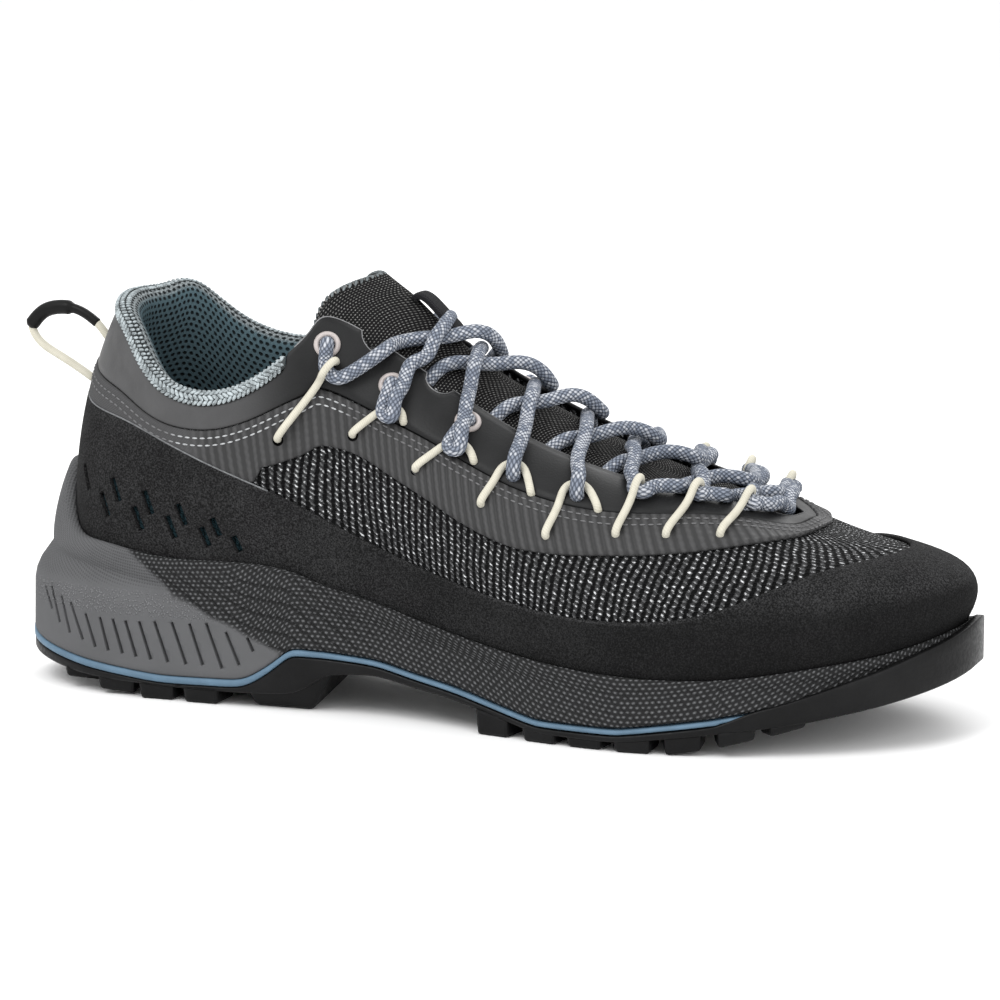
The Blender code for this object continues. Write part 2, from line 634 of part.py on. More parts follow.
# tongue: sections across the throat, from under the vamp to its free top
across = np.linspace(0, 6, 11)
tongue_rows = []
tongue_position = []
for name in CROWN:
    position = ORDER.index(name)
    points = []
    for side in (-1, 1):
        column = column_of(position, side)
        speed = np.linalg.norm(bezier_slope(cage_at(column), [1.0]))
        tuck = last_surface(column, 1 - 0.009 / speed, -WALL - 0.0009)[0][0]
        edge = last_surface(column, 1.0, -WALL - 0.0012)[0][0]
        points.append((tuck, edge))
    crown = grade(*CROWN[name])
    (tuck_l, edge_l), (tuck_m, edge_m) = points
    near_l = edge_l * 0.5 + crown * 0.5 + (0, 0, 0.0018)
    near_m = edge_m * 0.5 + crown * 0.5 + (0, 0, 0.0018)
    tongue_rows.append((tuck_l, edge_l, near_l, crown, near_m, edge_m, tuck_m))
    tongue_position.append(position)
top_edge = [grade(*p) for p in ((53.5, -18.5, 99), (54.5, -17, 107), (58, -12, 116.5), (67.5, 1, 121.0),
                                (61.5, 12.5, 117), (57.5, 17.5, 109), (56.5, 19.5, 101))]
tongue_rows.append(tuple(top_edge))
tongue_position.append(5.0)
tongue_rows = np.array(tongue_rows)[::-1]
tongue_position = np.array(tongue_position)[::-1]


def tongue_at(position, side, off=0.0):
    """Point of the tongue's face by section position and by place across (0 to 6)."""
    def place(p, s):
        row = natural(tongue_position, tongue_rows.reshape(len(tongue_rows), 21), [p]).reshape(7, 3)
        return natural(np.arange(7), row, [s])[0]
    here = place(position, side)
    along = place(min(position + 0.1, 13.0), side) - place(max(position - 0.1, 5.0), side)
    over = place(position, min(side + 0.1, 6.0)) - place(position, max(side - 0.1, 0.0))
    normal = np.cross(along, over)
    return here + normal / np.linalg.norm(normal) * off


stations = np.concatenate((np.linspace(5.0, 7.0, 5), np.linspace(7.7, 12.7, 9)))
face = [[tongue_at(p, s) for s in across] for p in stations]
under = [[tongue_at(p, s, -(0.0032 if p < 7 else 0.0024)) for s in across] for p in stations]
loops = [list(a) + list(reversed(b)) for a, b in zip(face, under)]
tongue_grid = np.array(loops).transpose(1, 0, 2)
tongue = band("tongue", list(tongue_grid), "tongue", closed=False)

# webbing keeper on the tongue
keeper = [tongue_at(p, 3, h) for p, h in ((6.6, 0.0010), (6.5, 0.0034), (6.25, 0.0044), (6.0, 0.0034), (5.9, 0.0010))]
keeper_path = smooth_path(keeper, 2)
bm = bmesh.new()
rings = []
for i, p in enumerate(keeper_path):
    ahead = keeper_path[min(i + 1, len(keeper_path) - 1)] - keeper_path[max(i - 1, 0)]
    thick = np.cross(ahead, (0, 1, 0))
    thick = thick / np.linalg.norm(thick) * 0.0004
    half = np.array((0, 0.0055, 0))
    rings.append([bm.verts.new(p + a * half + b * thick) for a, b in ((1, 1), (1, -1), (-1, -1), (-1, 1))])
for a, b in zip(rings, rings[1:]):
    for k in range(4):
        bm.faces.new((a[k], a[(k + 1) % 4], b[(k + 1) % 4], b[k]))
bm.faces.new(rings[0])
bm.faces.new(rings[-1])
add_object("tongue_keeper", mesh_from(bm, "tongue_keeper"), "tongue_keeper")

# eyelet rings
for side, tag in ((-1, "lateral"), (1, "medial")):
    for k, (x, height) in enumerate(EYELETS):
        point, normal = on_skin(x, height, side, GAP + PANEL + 0.0011)[:2]
        bpy.ops.mesh.primitive_torus_add(major_segments=12, minor_segments=5, major_radius=0.0030,
                                         minor_radius=0.0007)
        ring = bpy.context.active_object
        ring.name = f"eyelet_{tag}_{k + 1}"
        ring.data.name = ring.name
        for owner in list(ring.users_collection):
            owner.objects.unlink(ring)
        shoe.objects.link(ring)
        ring.matrix_world = frame_at(point, normal)
        ring.data.materials.append(material(ring.name, "eyelet"))
        ring.data.shade_smooth()

# lace loops stand over the turns of the lace; the turns by the eyelets lie on the facing edge
turns = {}
for side, tag in ((-1, "lateral"), (1, "medial")):
    half = slice(0, HALF + 1) if side < 0 else slice(HALF, N)
    brow = last_surface(np.arange(N), 1.0, GAP + PANEL + LACE + 0.0014)[0] + edge_dir * 0.0022
    brow = brow[half] if side < 0 else brow[half][::-1]
    for k, (x_foot, z_foot, x_top, z_top) in enumerate(STATIONS):
        foot = on_skin(x_foot, z_foot, side, GAP + FILM + CORD + 0.0004)[0]
        z_turn = z_top - (1.5 if side > 0 else 0.0)
        turn, n_turn, column, section = on_skin(x_top, z_turn, side, GAP + PANEL + LACE + 0.0011)
        slope = (foot - turn).normalized()
        inward = (-slope + n_turn * slope.dot(n_turn)).normalized()
        arch = LACE + CORD + 0.0005
        swing = [turn + (n_turn * math.sin(t) - inward * math.cos(t)) * arch
                 for t in (math.radians(v) for v in (8, 50, 92, 134))]
        tube(f"lace_loop_{tag}_{k + 1}", [foot] + swing, CORD, "loop")
        span = 0.0034 if k >= len(EYELETS) else 0.0018
        beside = {way: Vector([np.interp(turn.x + way * (span + 0.0014), brow[:, 0], brow[:, i])
                               for i in range(3)]) for way in (-1, 1)}
        if k < len(EYELETS):
            turn = (beside[-1] + beside[1]) / 2
            lean = (n_turn * 0.3 + inward).normalized() * 0.0028
            beside = {way: point + (point - turn) * 0.25 + lean for way, point in beside.items()}
        along = (beside[1] - beside[-1]).normalized()
        past = {way: (turn + along * way * span, beside[way]) for way in (-1, 1)}
        turns[tag, k] = (turn, section, past)


def strand(a, b, way_a, way_b, lift, sag):
    """Points from one turn to the next: over both facing edges and across the tongue."""
    (start, p_a, past_a), (_, p_b, past_b) = a, b
    s_a, s_b = (1.8, 4.2) if start.y < 0 else (4.2, 1.8)
    points = list(past_a[way_a])
    for f, extra in ((0.13, 0.1), (0.34, 0.8), (0.5, 1.0), (0.66, 0.8), (0.87, 0.1)):
        place = p_a + (p_b - p_a) * f + 0.2 * (way_a * (1 - f) + way_b * f) + sag * 16 * (f * (1 - f)) ** 2
        points.append(Vector(tongue_at(place, s_a + (s_b - s_a) * f, LACE + 0.0008 + lift * extra)))
    return points + list(reversed(past_b[way_b]))


# one lace, crossed over the tongue from top station to top station; its halves join where they cross
sides = ("lateral", "medial")
route = [(sides[k % 2], k) for k in range(8)] + [(sides[(k + 1) % 2], k) for k in range(7, -1, -1)]
halves = ([], [])
for step, (a, b) in enumerate(zip(route, route[1:])):
    way_a = 1 if b[1] >= a[1] else -1
    way_b = -1 if b[1] > a[1] else 1
    sag = (0.8, 0.5, 0.3, 0.15, 0.1, 0.05, 0.0, 0.0)[min(a[1], b[1])]
    lift = (0.0032, 0.0030, 0.0026, 0.0022, 0.0018, 0.0014, 0.0012, 0.0)[min(a[1], b[1])]
    upper_half = (step > 7) == (min(a[1], b[1]) % 2 == 0)
    halves[step > 7].extend(strand(turns[a], turns[b], way_a, way_b, lift if upper_half else 0.0, sag))
halves[0].insert(0, turns[route[0]][2][-1][0])
halves[1].append(turns[route[-1]][2][-1][0])
lace = tube("lace", halves[0], LACE, "lace")
boolean(lace, cutter("lace_return", tube("lace_return", halves[1], LACE, None)), "UNION")

# pull loop at the heel and its sleeve
pull_path = smooth_path([grade(x, 0, z) for x, z in PULL], 2)
tube("pull_loop", pull_path, 0.0015, "pull_loop")
sleeve_path = smooth_path([grade(x, 0, z) for x, z in PULL[1:6]], 3)
sleeve = tube("pull_loop_sleeve", sleeve_path, 0.0027, "pull_loop_sleeve", 2)
bore = cutter("sleeve_bore", tube("sleeve_bore", pull_path, 0.0019, None))
boolean(sleeve, bore, "DIFFERENCE")
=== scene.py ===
import math

import bmesh
import bpy
import numpy as np
from mathutils import Matrix, Vector
from mathutils.bvhtree import BVHTree


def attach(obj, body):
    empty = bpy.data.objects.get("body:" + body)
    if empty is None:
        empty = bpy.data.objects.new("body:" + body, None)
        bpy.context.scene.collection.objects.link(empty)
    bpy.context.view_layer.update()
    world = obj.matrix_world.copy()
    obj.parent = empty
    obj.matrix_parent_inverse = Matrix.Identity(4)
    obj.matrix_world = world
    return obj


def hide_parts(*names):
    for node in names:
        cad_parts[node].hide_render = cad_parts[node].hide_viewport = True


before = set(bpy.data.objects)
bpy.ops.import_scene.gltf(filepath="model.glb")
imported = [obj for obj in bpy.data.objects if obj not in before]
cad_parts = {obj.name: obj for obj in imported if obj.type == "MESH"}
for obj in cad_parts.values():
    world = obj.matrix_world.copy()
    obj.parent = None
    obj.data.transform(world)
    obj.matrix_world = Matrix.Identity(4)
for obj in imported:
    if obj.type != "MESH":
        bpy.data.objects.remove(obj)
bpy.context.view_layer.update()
print("frame loaded", len(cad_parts), "nodes")

# layer thicknesses in metres
wall = 0.0016
gap = 0.0003
randThick = 0.0012
filmThick = 0.0011
panelThick = 0.0008
rimThick = 0.0018
lineThick = 0.0016
cordRadius = 0.0011
laceRadius = 0.0020

# pattern of the last and the sole, one row a section from heel to toe, millimetres
columnNames = ("steps ex el em blue plate wrap wall ledge cut fx fl fm fz tx tl tm tz tmz "
               "bulge rise reach drop rim rand low top").split()
sectionTable = {
    "heelBack": (2, -37, 0, 0, 17.5, 10.5, 0, 0, 36, 5.5,
                 -17, 0, 0, 27, -8, 0, 0, 110, 110, 11, 23, 12.5, 21, 62, 84, 85, 93),
    "heelRound": (2, -31, 19.5, 18.5, 13, 8, 0, 0, 34.5, 4.0,
                  -13, 14, 13.5, 27, -5, 13.5, 13.5, 107.5, 110, 11, 22, 8, 21, 48, 81.5, 82.5, 89.5),
    "heelSide": (2, -10, 32, 31, 9.3, 5, 0, 0, 32, 2.0,
                 -2, 24.5, 23.5, 27, 2, 21.5, 21.5, 101.5, 110, 9, 21, 4, 21, 43.5, 79, 80, 85.5),
    "heel": (2, 15, 35, 33, 6.9, 4, 0, 0, 29, 1.0,
             16, 28, 26.5, 27, 14, 29, 27.5, 89.5, 100.0, 6, 20, 2.5, 20, 41, 74.5, 75.5, 79),
    "breast": (2, 40, 35.5, 31, 7.5, 4, 0, 0, 27, 0.6,
               38, 29, 25.5, 26, 33, 30.5, 28.5, 86.5, 94.5, 5, 20, 2.5, 18, 41, 66.5, 67.5, 78),
    "arch": (2, 55, 36, 29.5, 17.8, 5, 0, 0, 28, 0.5,
             55, 29.5, 24.5, 25, 51, 27, 25, 97, 99.5, 6, 20, 3, 18, 39.5, 59.5, 70, 85.5),
    "flap": (1, 67, 36.5, 29, 17.8, 11.5, 0, 0, 27, 0.5,
             67, 30.5, 24.5, 24, 60.5, 20.5, 21, 107, 108, 7, 20, 7, 16, 36, 54.5, 74.5, 89.5),
    "waist": (2, 80, 37, 29, 17, 12.5, 0, 0, 25, 0.5,
              80, 31.5, 24.5, 23, 70, 17, 20, 102.5, 105, 8, 19, 12, 12, 33.5, 50, 72.5, 86),
    "instep": (2, 105, 41, 31, 12.2, 8.5, 0, 0, 20, 0.5,
               105, 36, 26.5, 21, 92, 17, 20.5, 90, 94, 11, 17, 17, 10, 28, 43, 62.5, 77.5),
    "jointBack": (3, 130, 47, 36.5, 6.2, 2.6, 0, 0, 15, 0.4,
                  130, 42, 31.5, 19, 115, 19, 22.5, 78, 81.5, 11, 15, 19, 8, 23.5, 37.5, 52.5, 67.5),
    "joint": (3, 155, 50.5, 43, 6.3, 2.6, 0, 0, 14, 0.4,
              155, 45.5, 38, 17.5, 140, 20.5, 24.5, 69.5, 71.5, 9, 14, 19, 5.5, 21, 35, 51, 61.5),
    "toeBase": (3, 182, 47.5, 46.5, 10.5, 6.3, 9.5, 0.0, 16.5, 0.3,
                181, 42.5, 41.5, 18.5, 163, 18.5, 23, 64.0, 64.5, 10, 14, 20, 5, 21.5, 38, 52.5, 60.5),
    "toeSide": (2, 207.5, 37.5, 43.5, 15, 9.8, 17.5, 1.6, 20, 0.2,
                203, 32.5, 38.5, 20.5, 179, 14, 19, 61.0, 60.0, 13, 18, 20, 6, 24.5, 45.5, 54.5, 58.8),
    "toeRound": (2, 229.5, 20, 33, 20, 14.8, 26, 2.2, 24, 0.1,
                 222, 16.5, 28, 24.5, 188, 6.5, 12, 57.6, 56.6, 15, 22, 23, 9, 27.8, 48.6, 54.4, 56.0),
    "toeTip": (2, 240.5, -6, 6, 24.5, 20.0, 33, 2.3, 28, 0.0,
               233, -6, 6, 28.5, 191, -3, 3, 57.0, 57.0, 16, 23, 26, 11, 31.5, 49.2, 54.6, 56.0),
}
treadLine = ((-36, 7.5), (-30, 6.0), (-17, 3.6), (-6, 1.6), (8, 0.0), (170, 0.0), (180, 2.0),
             (193, 5.2), (207, 9.0), (239, 19.0))
crownTable = {
    "toeRound": (190, 3, 54.5), "toeSide": (180, 3, 57.8), "toeBase": (165, 3.5, 63.0),
    "joint": (143, 4, 70.5), "jointBack": (120, 4, 82.0), "instep": (99.5, 3, 93.5),
    "waist": (82, 2, 109.2), "flap": (75, 2, 115.0),
}


def spline(knots, values, at):
    # cubic spline through rows of values, free at both ends
    knots, values = np.asarray(knots, float), np.asarray(values, float)
    n = len(knots)
    step = np.diff(knots)
    slope = np.diff(values, axis=0) / step[:, None]
    system = np.eye(n)
    right = np.zeros_like(values)
    for i in range(1, n - 1):
        system[i, i - 1:i + 2] = step[i - 1], 2 * (step[i - 1] + step[i]), step[i]
        right[i] = 6 * (slope[i] - slope[i - 1])
    bend = np.linalg.solve(system, right)
    at = np.atleast_1d(np.asarray(at, float))
    k = np.clip(np.searchsorted(knots, at, side="right") - 1, 0, n - 2)
    h = step[k][:, None]
    a = (knots[k + 1] - at)[:, None] / h
    b = 1 - a
    curve = ((a ** 3 - a) * bend[k] + (b ** 3 - b) * bend[k + 1]) * h * h / 6
    return a * values[k] + b * values[k + 1] + curve


def ringSpline(knots, values, at, period):
    # the same spline closed on itself
    values, knots = np.asarray(values, float), np.asarray(knots, float)
    wide = np.concatenate((knots[-4:] - period, knots, knots[:4] + period))
    rows = np.concatenate((values[-4:], values, values[:4]))
    return spline(wide, rows, np.mod(at, period))


order = list(sectionTable)
lastSection = len(order) - 1
pattern = {name: dict(zip(columnNames, row)) for name, row in sectionTable.items()}
ringRows = [dict(pattern[n], ey=-pattern[n]["el"], fy=-pattern[n]["fl"], ty=-pattern[n]["tl"]) for n in order]
for name in order[lastSection - 1:0:-1]:
    r = pattern[name]
    lift = (r["tmz"] - r["fz"]) / (r["tz"] - r["fz"])
    high = {key: r["fz"] + (r[key] - r["fz"]) * lift for key in ("rand", "low", "top")}
    ringRows.append(dict(r, ey=r["em"], fy=r["fm"], ty=r["tm"], tz=r["tmz"], **high))
ringCount = len(ringRows)
columnAt = []
for i in range(ringCount):
    steps = pattern[order[i]]["steps"] if i < lastSection else pattern[order[ringCount - i - 1]]["steps"]
    columnAt += [i + s / steps for s in range(steps)]
columnAt = np.array(columnAt)
cols = len(columnAt)
half = cols // 2
allCols = np.arange(cols)


def smoothRows(*names):
    values = [[row[key] for key in names] for row in ringRows]
    return ringSpline(np.arange(ringCount), values, columnAt, ringCount).T


def straightRows(*names):
    values = [[row[key] for key in names] for row in ringRows + ringRows[:1]]
    return np.array([np.interp(columnAt, np.arange(ringCount + 1), v) for v in zip(*values)])


def stack(x, y, z):
    return np.stack([np.broadcast_to(np.asarray(v, float), np.shape(x)) for v in (x, y, z)], -1) * 0.001


def outward(points):
    along = np.roll(points, -1, axis=0) - np.roll(points, 1, axis=0)
    out = np.stack((along[:, 1], -along[:, 0], np.zeros(len(points))), -1)
    return out / np.linalg.norm(out, axis=1)[:, None]


ex, ey, fx, fy, fz, tx, ty, tz = smoothRows("ex", "ey", "fx", "fy", "fz", "tx", "ty", "tz")
bulge, rise, reach, drop = smoothRows("bulge", "rise", "reach", "drop") * 0.001
soleEdge, feather, topLine = stack(ex, ey, 0), stack(fx, fy, fz), stack(tx, ty, tz)
up = np.array((0.0, 0.0, 1.0))
footOut = outward(feather)
topOut = footOut + outward(topLine)
topOut /= np.linalg.norm(topOut, axis=1)[:, None]
cage = np.stack((feather, feather + footOut * bulge[:, None] + up * rise[:, None],
                 topLine + topOut * reach[:, None] - up * drop[:, None], topLine))


def bezier(c, v):
    v = np.asarray(v, float)[..., None]
    return (1 - v) ** 3 * c[0] + 3 * (1 - v) ** 2 * v * c[1] + 3 * (1 - v) * v ** 2 * c[2] + v ** 3 * c[3]


def bezierSlope(c, v):
    v = np.asarray(v, float)[..., None]
    return 3 * ((1 - v) ** 2 * (c[1] - c[0]) + 2 * (1 - v) * v * (c[2] - c[1]) + v ** 2 * (c[3] - c[2]))


def cageAt(column):
    flat = cage.transpose(1, 0, 2).reshape(cols, 12)
    return ringSpline(allCols, flat, column, cols).reshape(-1, 4, 3).transpose(1, 0, 2)


# soft troughs in the skin: side, then x, z of both ends, depth and half width in millimetres
creases = ((-1, 0.0, 92.0, 5.5, 87.6, 0.45, 0.7), (-1, 2.4, 92.8, 8.6, 88.4, 0.40, 0.7),
           (-1, 5.0, 94.0, 11.5, 89.4, 0.28, 0.8), (-1, -6.0, 99.0, -3.0, 93.0, 0.30, 1.0),
           (-1, 148.0, 30.0, 158.0, 50.0, 0.35, 3.2), (-1, 161.0, 28.0, 169.0, 48.0, 0.30, 3.0),
           (1, 146.0, 30.0, 157.0, 50.0, 0.35, 3.2), (1, 160.0, 28.0, 168.0, 48.0, 0.30, 3.0),
           (-1, 60.0, 74.0, 78.0, 60.0, 0.25, 2.2), (1, 20.0, 80.0, 40.0, 66.0, 0.35, 2.6),
           (1, 2.0, 91.0, 9.0, 87.0, 0.25, 0.9), (1, 52.0, 84.0, 70.0, 68.0, 0.30, 2.4))


def creaseDepth(points):
    flat = points[:, [0, 2]] * 1000
    depth = np.zeros(len(points))
    for side, x0, z0, x1, z1, deep, wide in creases:
        start, run = np.array((x0, z0)), np.array((x1 - x0, z1 - z0))
        share = np.clip((flat - start) @ run / run.dot(run), 0, 1)
        away = np.linalg.norm(flat - start - share[:, None] * run, axis=1)
        depth += np.where(points[:, 1] * side > 0.005, deep * 0.001 * np.exp(-(away / wide) ** 2), 0)
    return depth


def lastSurface(column, v, off=0.0):
    # point and outward normal on the last at any column and height fraction
    column = np.atleast_1d(np.asarray(column, float))
    v = np.broadcast_to(np.asarray(v, float), column.shape)
    c = cageAt(column)
    du = bezier(cageAt(column + 0.5), v) - bezier(cageAt(column - 0.5), v)
    normal = np.cross(du, bezierSlope(c, v))
    normal /= np.linalg.norm(normal, axis=1)[:, None]
    base = bezier(c, v)
    return base + normal * (np.reshape(off, (-1, 1)) - creaseDepth(base)[:, None]), normal


def levelOf(column, height):
    # height fraction where the last reaches a height
    c = cageAt(column)
    low, highEnd = np.zeros(len(column)), np.ones(len(column)) * 1.2
    for _ in range(40):
        middle = (low + highEnd) / 2
        below = bezier(c, middle)[:, 2] < height
        low, highEnd = np.where(below, middle, low), np.where(below, highEnd, middle)
    return (low + highEnd) / 2


topSpeed = np.linalg.norm(bezierSlope(cage, np.ones(cols)), axis=1)


def underTop(distance):
    return 1 - np.broadcast_to(distance, (cols,)) / topSpeed


def seamLine(name):
    return levelOf(allCols, smoothRows(name)[0] * 0.001)


rimV, randV, lowV, topV = (seamLine(name) for name in ("rim", "rand", "low", "top"))
lowV = np.maximum(lowV, randV + 0.012)
topV = np.minimum(topV, underTop(0.0012))
lowV = np.minimum(lowV, topV - 0.02)


def fineCols(count):
    return np.arange(count + 1) * cols / count


def onColumns(values, at):
    # a seam or level given at the pattern's columns, read anywhere between them
    return ringSpline(allCols, np.asarray(values, float)[:, None], at, cols)[:, 0]


def columnOf(position, side):
    at = np.interp(position, columnAt, allCols)
    return at if side < 0 else cols - at


def sideHeights(position, height, side):
    if side < 0:
        return height + 0 * position
    span = [[pattern[name][key] for name in order] for key in ("fz", "tz", "tmz")]
    foot, lateral, medial = (np.interp(position, np.arange(lastSection + 1), values) for values in span)
    return foot + (height - foot) * (medial - foot) / (lateral - foot)


def onSkin(x, height, side, off):
    # point, normal, column and section position of a spot given by its x and z in millimetres
    columns = np.arange(half + 1.0)
    position = columnAt[:half + 1]
    aroundFoot = columns if side < 0 else cols - columns
    z = sideHeights(position, height, side) * 0.001
    xs = lastSurface(aroundFoot, levelOf(aroundFoot, z))[0][:, 0]
    column = float(np.interp(x * 0.001, xs, aroundFoot))
    section = float(np.interp(column if side < 0 else cols - column, columns, position))
    v = levelOf([column], sideHeights(section, height, side) * 0.001)
    point, normal = lastSurface(column, v, off)
    return Vector(point[0]), Vector(normal[0]), column, section


print("last worked out")


# shader building blocks
class Sock:
    # one socket value with Python's operators
    def __init__(self, shade, link):
        self.shade, self.link = shade, link

    def both(self, kind, a, b):
        return self.shade.add("ShaderNodeMath", {"operation": kind}, [a, b])

    def __add__(self, other):
        return self.both("ADD", self, other)

    __radd__ = __add__

    def __sub__(self, other):
        return self.both("SUBTRACT", self, other)

    def __rsub__(self, other):
        return self.both("SUBTRACT", other, self)

    def __mul__(self, other):
        return self.both("MULTIPLY", self, other)

    __rmul__ = __mul__

    def __truediv__(self, other):
        return self.both("DIVIDE", self, other)

    def __pow__(self, other):
        return self.both("POWER", self, other)

    def __gt__(self, other):
        return self.both("GREATER_THAN", self, other)

    def __lt__(self, other):
        return self.both("LESS_THAN", self, other)

    def least(self, other):
        return self.both("MINIMUM", self, other)

    def most(self, other):
        return self.both("MAXIMUM", self, other)


class Shade:
    # a material with a Principled shader; add() makes any other node
    def __init__(self, name, **fixed):
        self.material = bpy.data.materials.new(name)
        self.material.use_nodes = True
        self.tree = self.material.node_tree
        self.shader = self.tree.nodes["Principled BSDF"]
        for key, value in fixed.items():
            self.shader.inputs[key.replace("_", " ")].default_value = value

    def add(self, kind, settings, values, output=0):
        node = self.tree.nodes.new(kind)
        for key, value in settings.items():
            if key == "stops":
                ramp = node.color_ramp
                while len(ramp.elements) < len(value):
                    ramp.elements.new(0.5)
                for element, (place, tone) in zip(ramp.elements, value):
                    element.position = place
                    element.color = (*tone, 1.0) if len(tone) == 3 else tone
            else:
                setattr(node, key, value)
        pairs = values.items() if isinstance(values, dict) else enumerate(values)
        for key, value in pairs:
            if isinstance(value, Sock):
                self.tree.links.new(value.link, node.inputs[key])
            else:
                node.inputs[key].default_value = value
        return Sock(self, node.outputs[output])

    def place(self):
        return self.add("ShaderNodeTexCoord", {}, {}, "Object")

    def cloth(self):
        return self.add("ShaderNodeTexCoord", {}, {}, "UV")

    def split(self, vector):
        node = self.tree.nodes.new("ShaderNodeSeparateXYZ")
        self.tree.links.new(vector.link, node.inputs[0])
        return [Sock(self, node.outputs[i]) for i in range(3)]

    def join(self, x, y, z=0.0):
        return self.add("ShaderNodeCombineXYZ", {}, [x, y, z])

    def noise(self, vector, scale, detail=3.0, rough=0.55, warp=0.0):
        return self.add("ShaderNodeTexNoise", {}, {"Vector": vector, "Scale": scale, "Detail": detail,
                                                   "Roughness": rough, "Distortion": warp}, "Fac")

    def cells(self, vector, scale, feature="F1", jitter=1.0, output="Distance"):
        return self.add("ShaderNodeTexVoronoi", {"feature": feature},
                        {"Vector": vector, "Scale": scale, "Randomness": jitter}, output)

    def wave(self, value):
        return self.add("ShaderNodeMath", {"operation": "SINE"}, [value])

    def fract(self, value):
        return self.add("ShaderNodeMath", {"operation": "FRACT"}, [value])

    def floor(self, value):
        return self.add("ShaderNodeMath", {"operation": "FLOOR"}, [value])

    def size(self, value):
        return self.add("ShaderNodeMath", {"operation": "ABSOLUTE"}, [value])

    def fade(self, value, low, high, start=0.0, end=1.0):
        return self.add("ShaderNodeMapRange", {"interpolation_type": "SMOOTHSTEP"},
                        {"Value": value, "From Min": low, "From Max": high, "To Min": start, "To Max": end})

    def blend(self, amount, a, b):
        node = self.tree.nodes.new("ShaderNodeMix")
        node.data_type = "RGBA"
        for socket, value in zip((node.inputs[0], node.inputs[6], node.inputs[7]), (amount, a, b)):
            if isinstance(value, Sock):
                self.tree.links.new(value.link, socket)
            else:
                socket.default_value = (*value, 1.0) if isinstance(value, tuple) else value
        return Sock(self, node.outputs[2])

    def relief(self, height, distance, strength=1.0, under=None):
        values = {"Height": height, "Distance": distance, "Strength": strength}
        if under is not None:
            values["Normal"] = under
        return self.add("ShaderNodeBump", {}, values)

    def finish(self, color=None, rough=None, normal=None, coat=None):
        for key, value in (("Base Color", color), ("Roughness", rough), ("Normal", normal), ("Coat Weight", coat)):
            if isinstance(value, Sock):
                self.tree.links.new(value.link, self.shader.inputs[key])
        return self.material


def dressed(obj, shade, slot, *nodes):
    # material, body and the CAD nodes that the piece stands for; slot is not used
    obj.data.materials.clear()
    obj.data.materials.append(shade)
    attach(obj, "root")
    if nodes:
        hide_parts(*nodes)
    return obj


def gridPiece(name, points, patternUv, closedAcross=False, closedAlong=False, weld=True):
    # a grid whose corners are moved on to the points; points[row][column]
    points = np.asarray(points, float)
    rows, count = points.shape[:2]
    if closedAlong:
        points = np.concatenate((points, points[:1]))
        patternUv = np.concatenate((patternUv, patternUv[-1:] + (patternUv[-1:] - patternUv[-2:-1])))
        rows += 1
    bm = bmesh.new()
    bmesh.ops.create_grid(bm, x_segments=count - 1, y_segments=rows - 1, size=0.5, calc_uvs=True)
    uvLayer = bm.loops.layers.uv.verify()
    flat = points.reshape(-1, 3)
    uvFlat = np.asarray(patternUv, float).reshape(-1, 2)
    for v in bm.verts:
        v.index = int(round((v.co.y + 0.5) * (rows - 1))) * count + int(round((v.co.x + 0.5) * (count - 1)))
    for v in bm.verts:
        v.co = flat[v.index]
    for face in bm.faces:
        face.smooth = True
        for loop in face.loops:
            loop[uvLayer].uv = uvFlat[loop.vert.index]
    if weld:
        bmesh.ops.remove_doubles(bm, verts=bm.verts, dist=0.000004)
        bmesh.ops.dissolve_degenerate(bm, edges=bm.edges, dist=0.000002)
    bmesh.ops.recalc_face_normals(bm, faces=bm.faces)
    mesh = bpy.data.meshes.new(name)
    bm.to_mesh(mesh)
    bm.free()
    obj = bpy.data.objects.new(name, mesh)
    bpy.context.scene.collection.objects.link(obj)
    return obj


def distances(points, axis):
    # running length along the rows or columns of a grid of points, millimetres
    step = np.linalg.norm(np.diff(points, axis=axis), axis=2) * 1000
    start = np.zeros_like(np.take(step, [0], axis=axis))
    return np.cumsum(np.concatenate((start, step), axis=axis), axis=axis)


def bandPiece(name, rows, closed=True, uvRow=0):
    # rows of points round the foot that make a closed section; the pattern follows the first rows
    points = np.array(rows)
    u = np.repeat(distances(points[uvRow:uvRow + 1], 1), len(rows), axis=0)
    v = distances(points, 0)
    obj = gridPiece(name, points, np.stack((u, v), -1), closedAlong=True)
    if not closed:
        bm = bmesh.new()
        bm.from_mesh(obj.data)
        bmesh.ops.holes_fill(bm, edges=[e for e in bm.edges if e.is_boundary])
        bmesh.ops.triangulate(bm, faces=[f for f in bm.faces if len(f.verts) > 4])
        bm.to_mesh(obj.data)
        bm.free()
    return obj


def mixRows(a, b, count, ease=False):
    share = np.linspace(0, 1, count + 1)
    if ease:
        share = share * share * (3 - 2 * share)
    return [a + (b - a) * s for s in share]


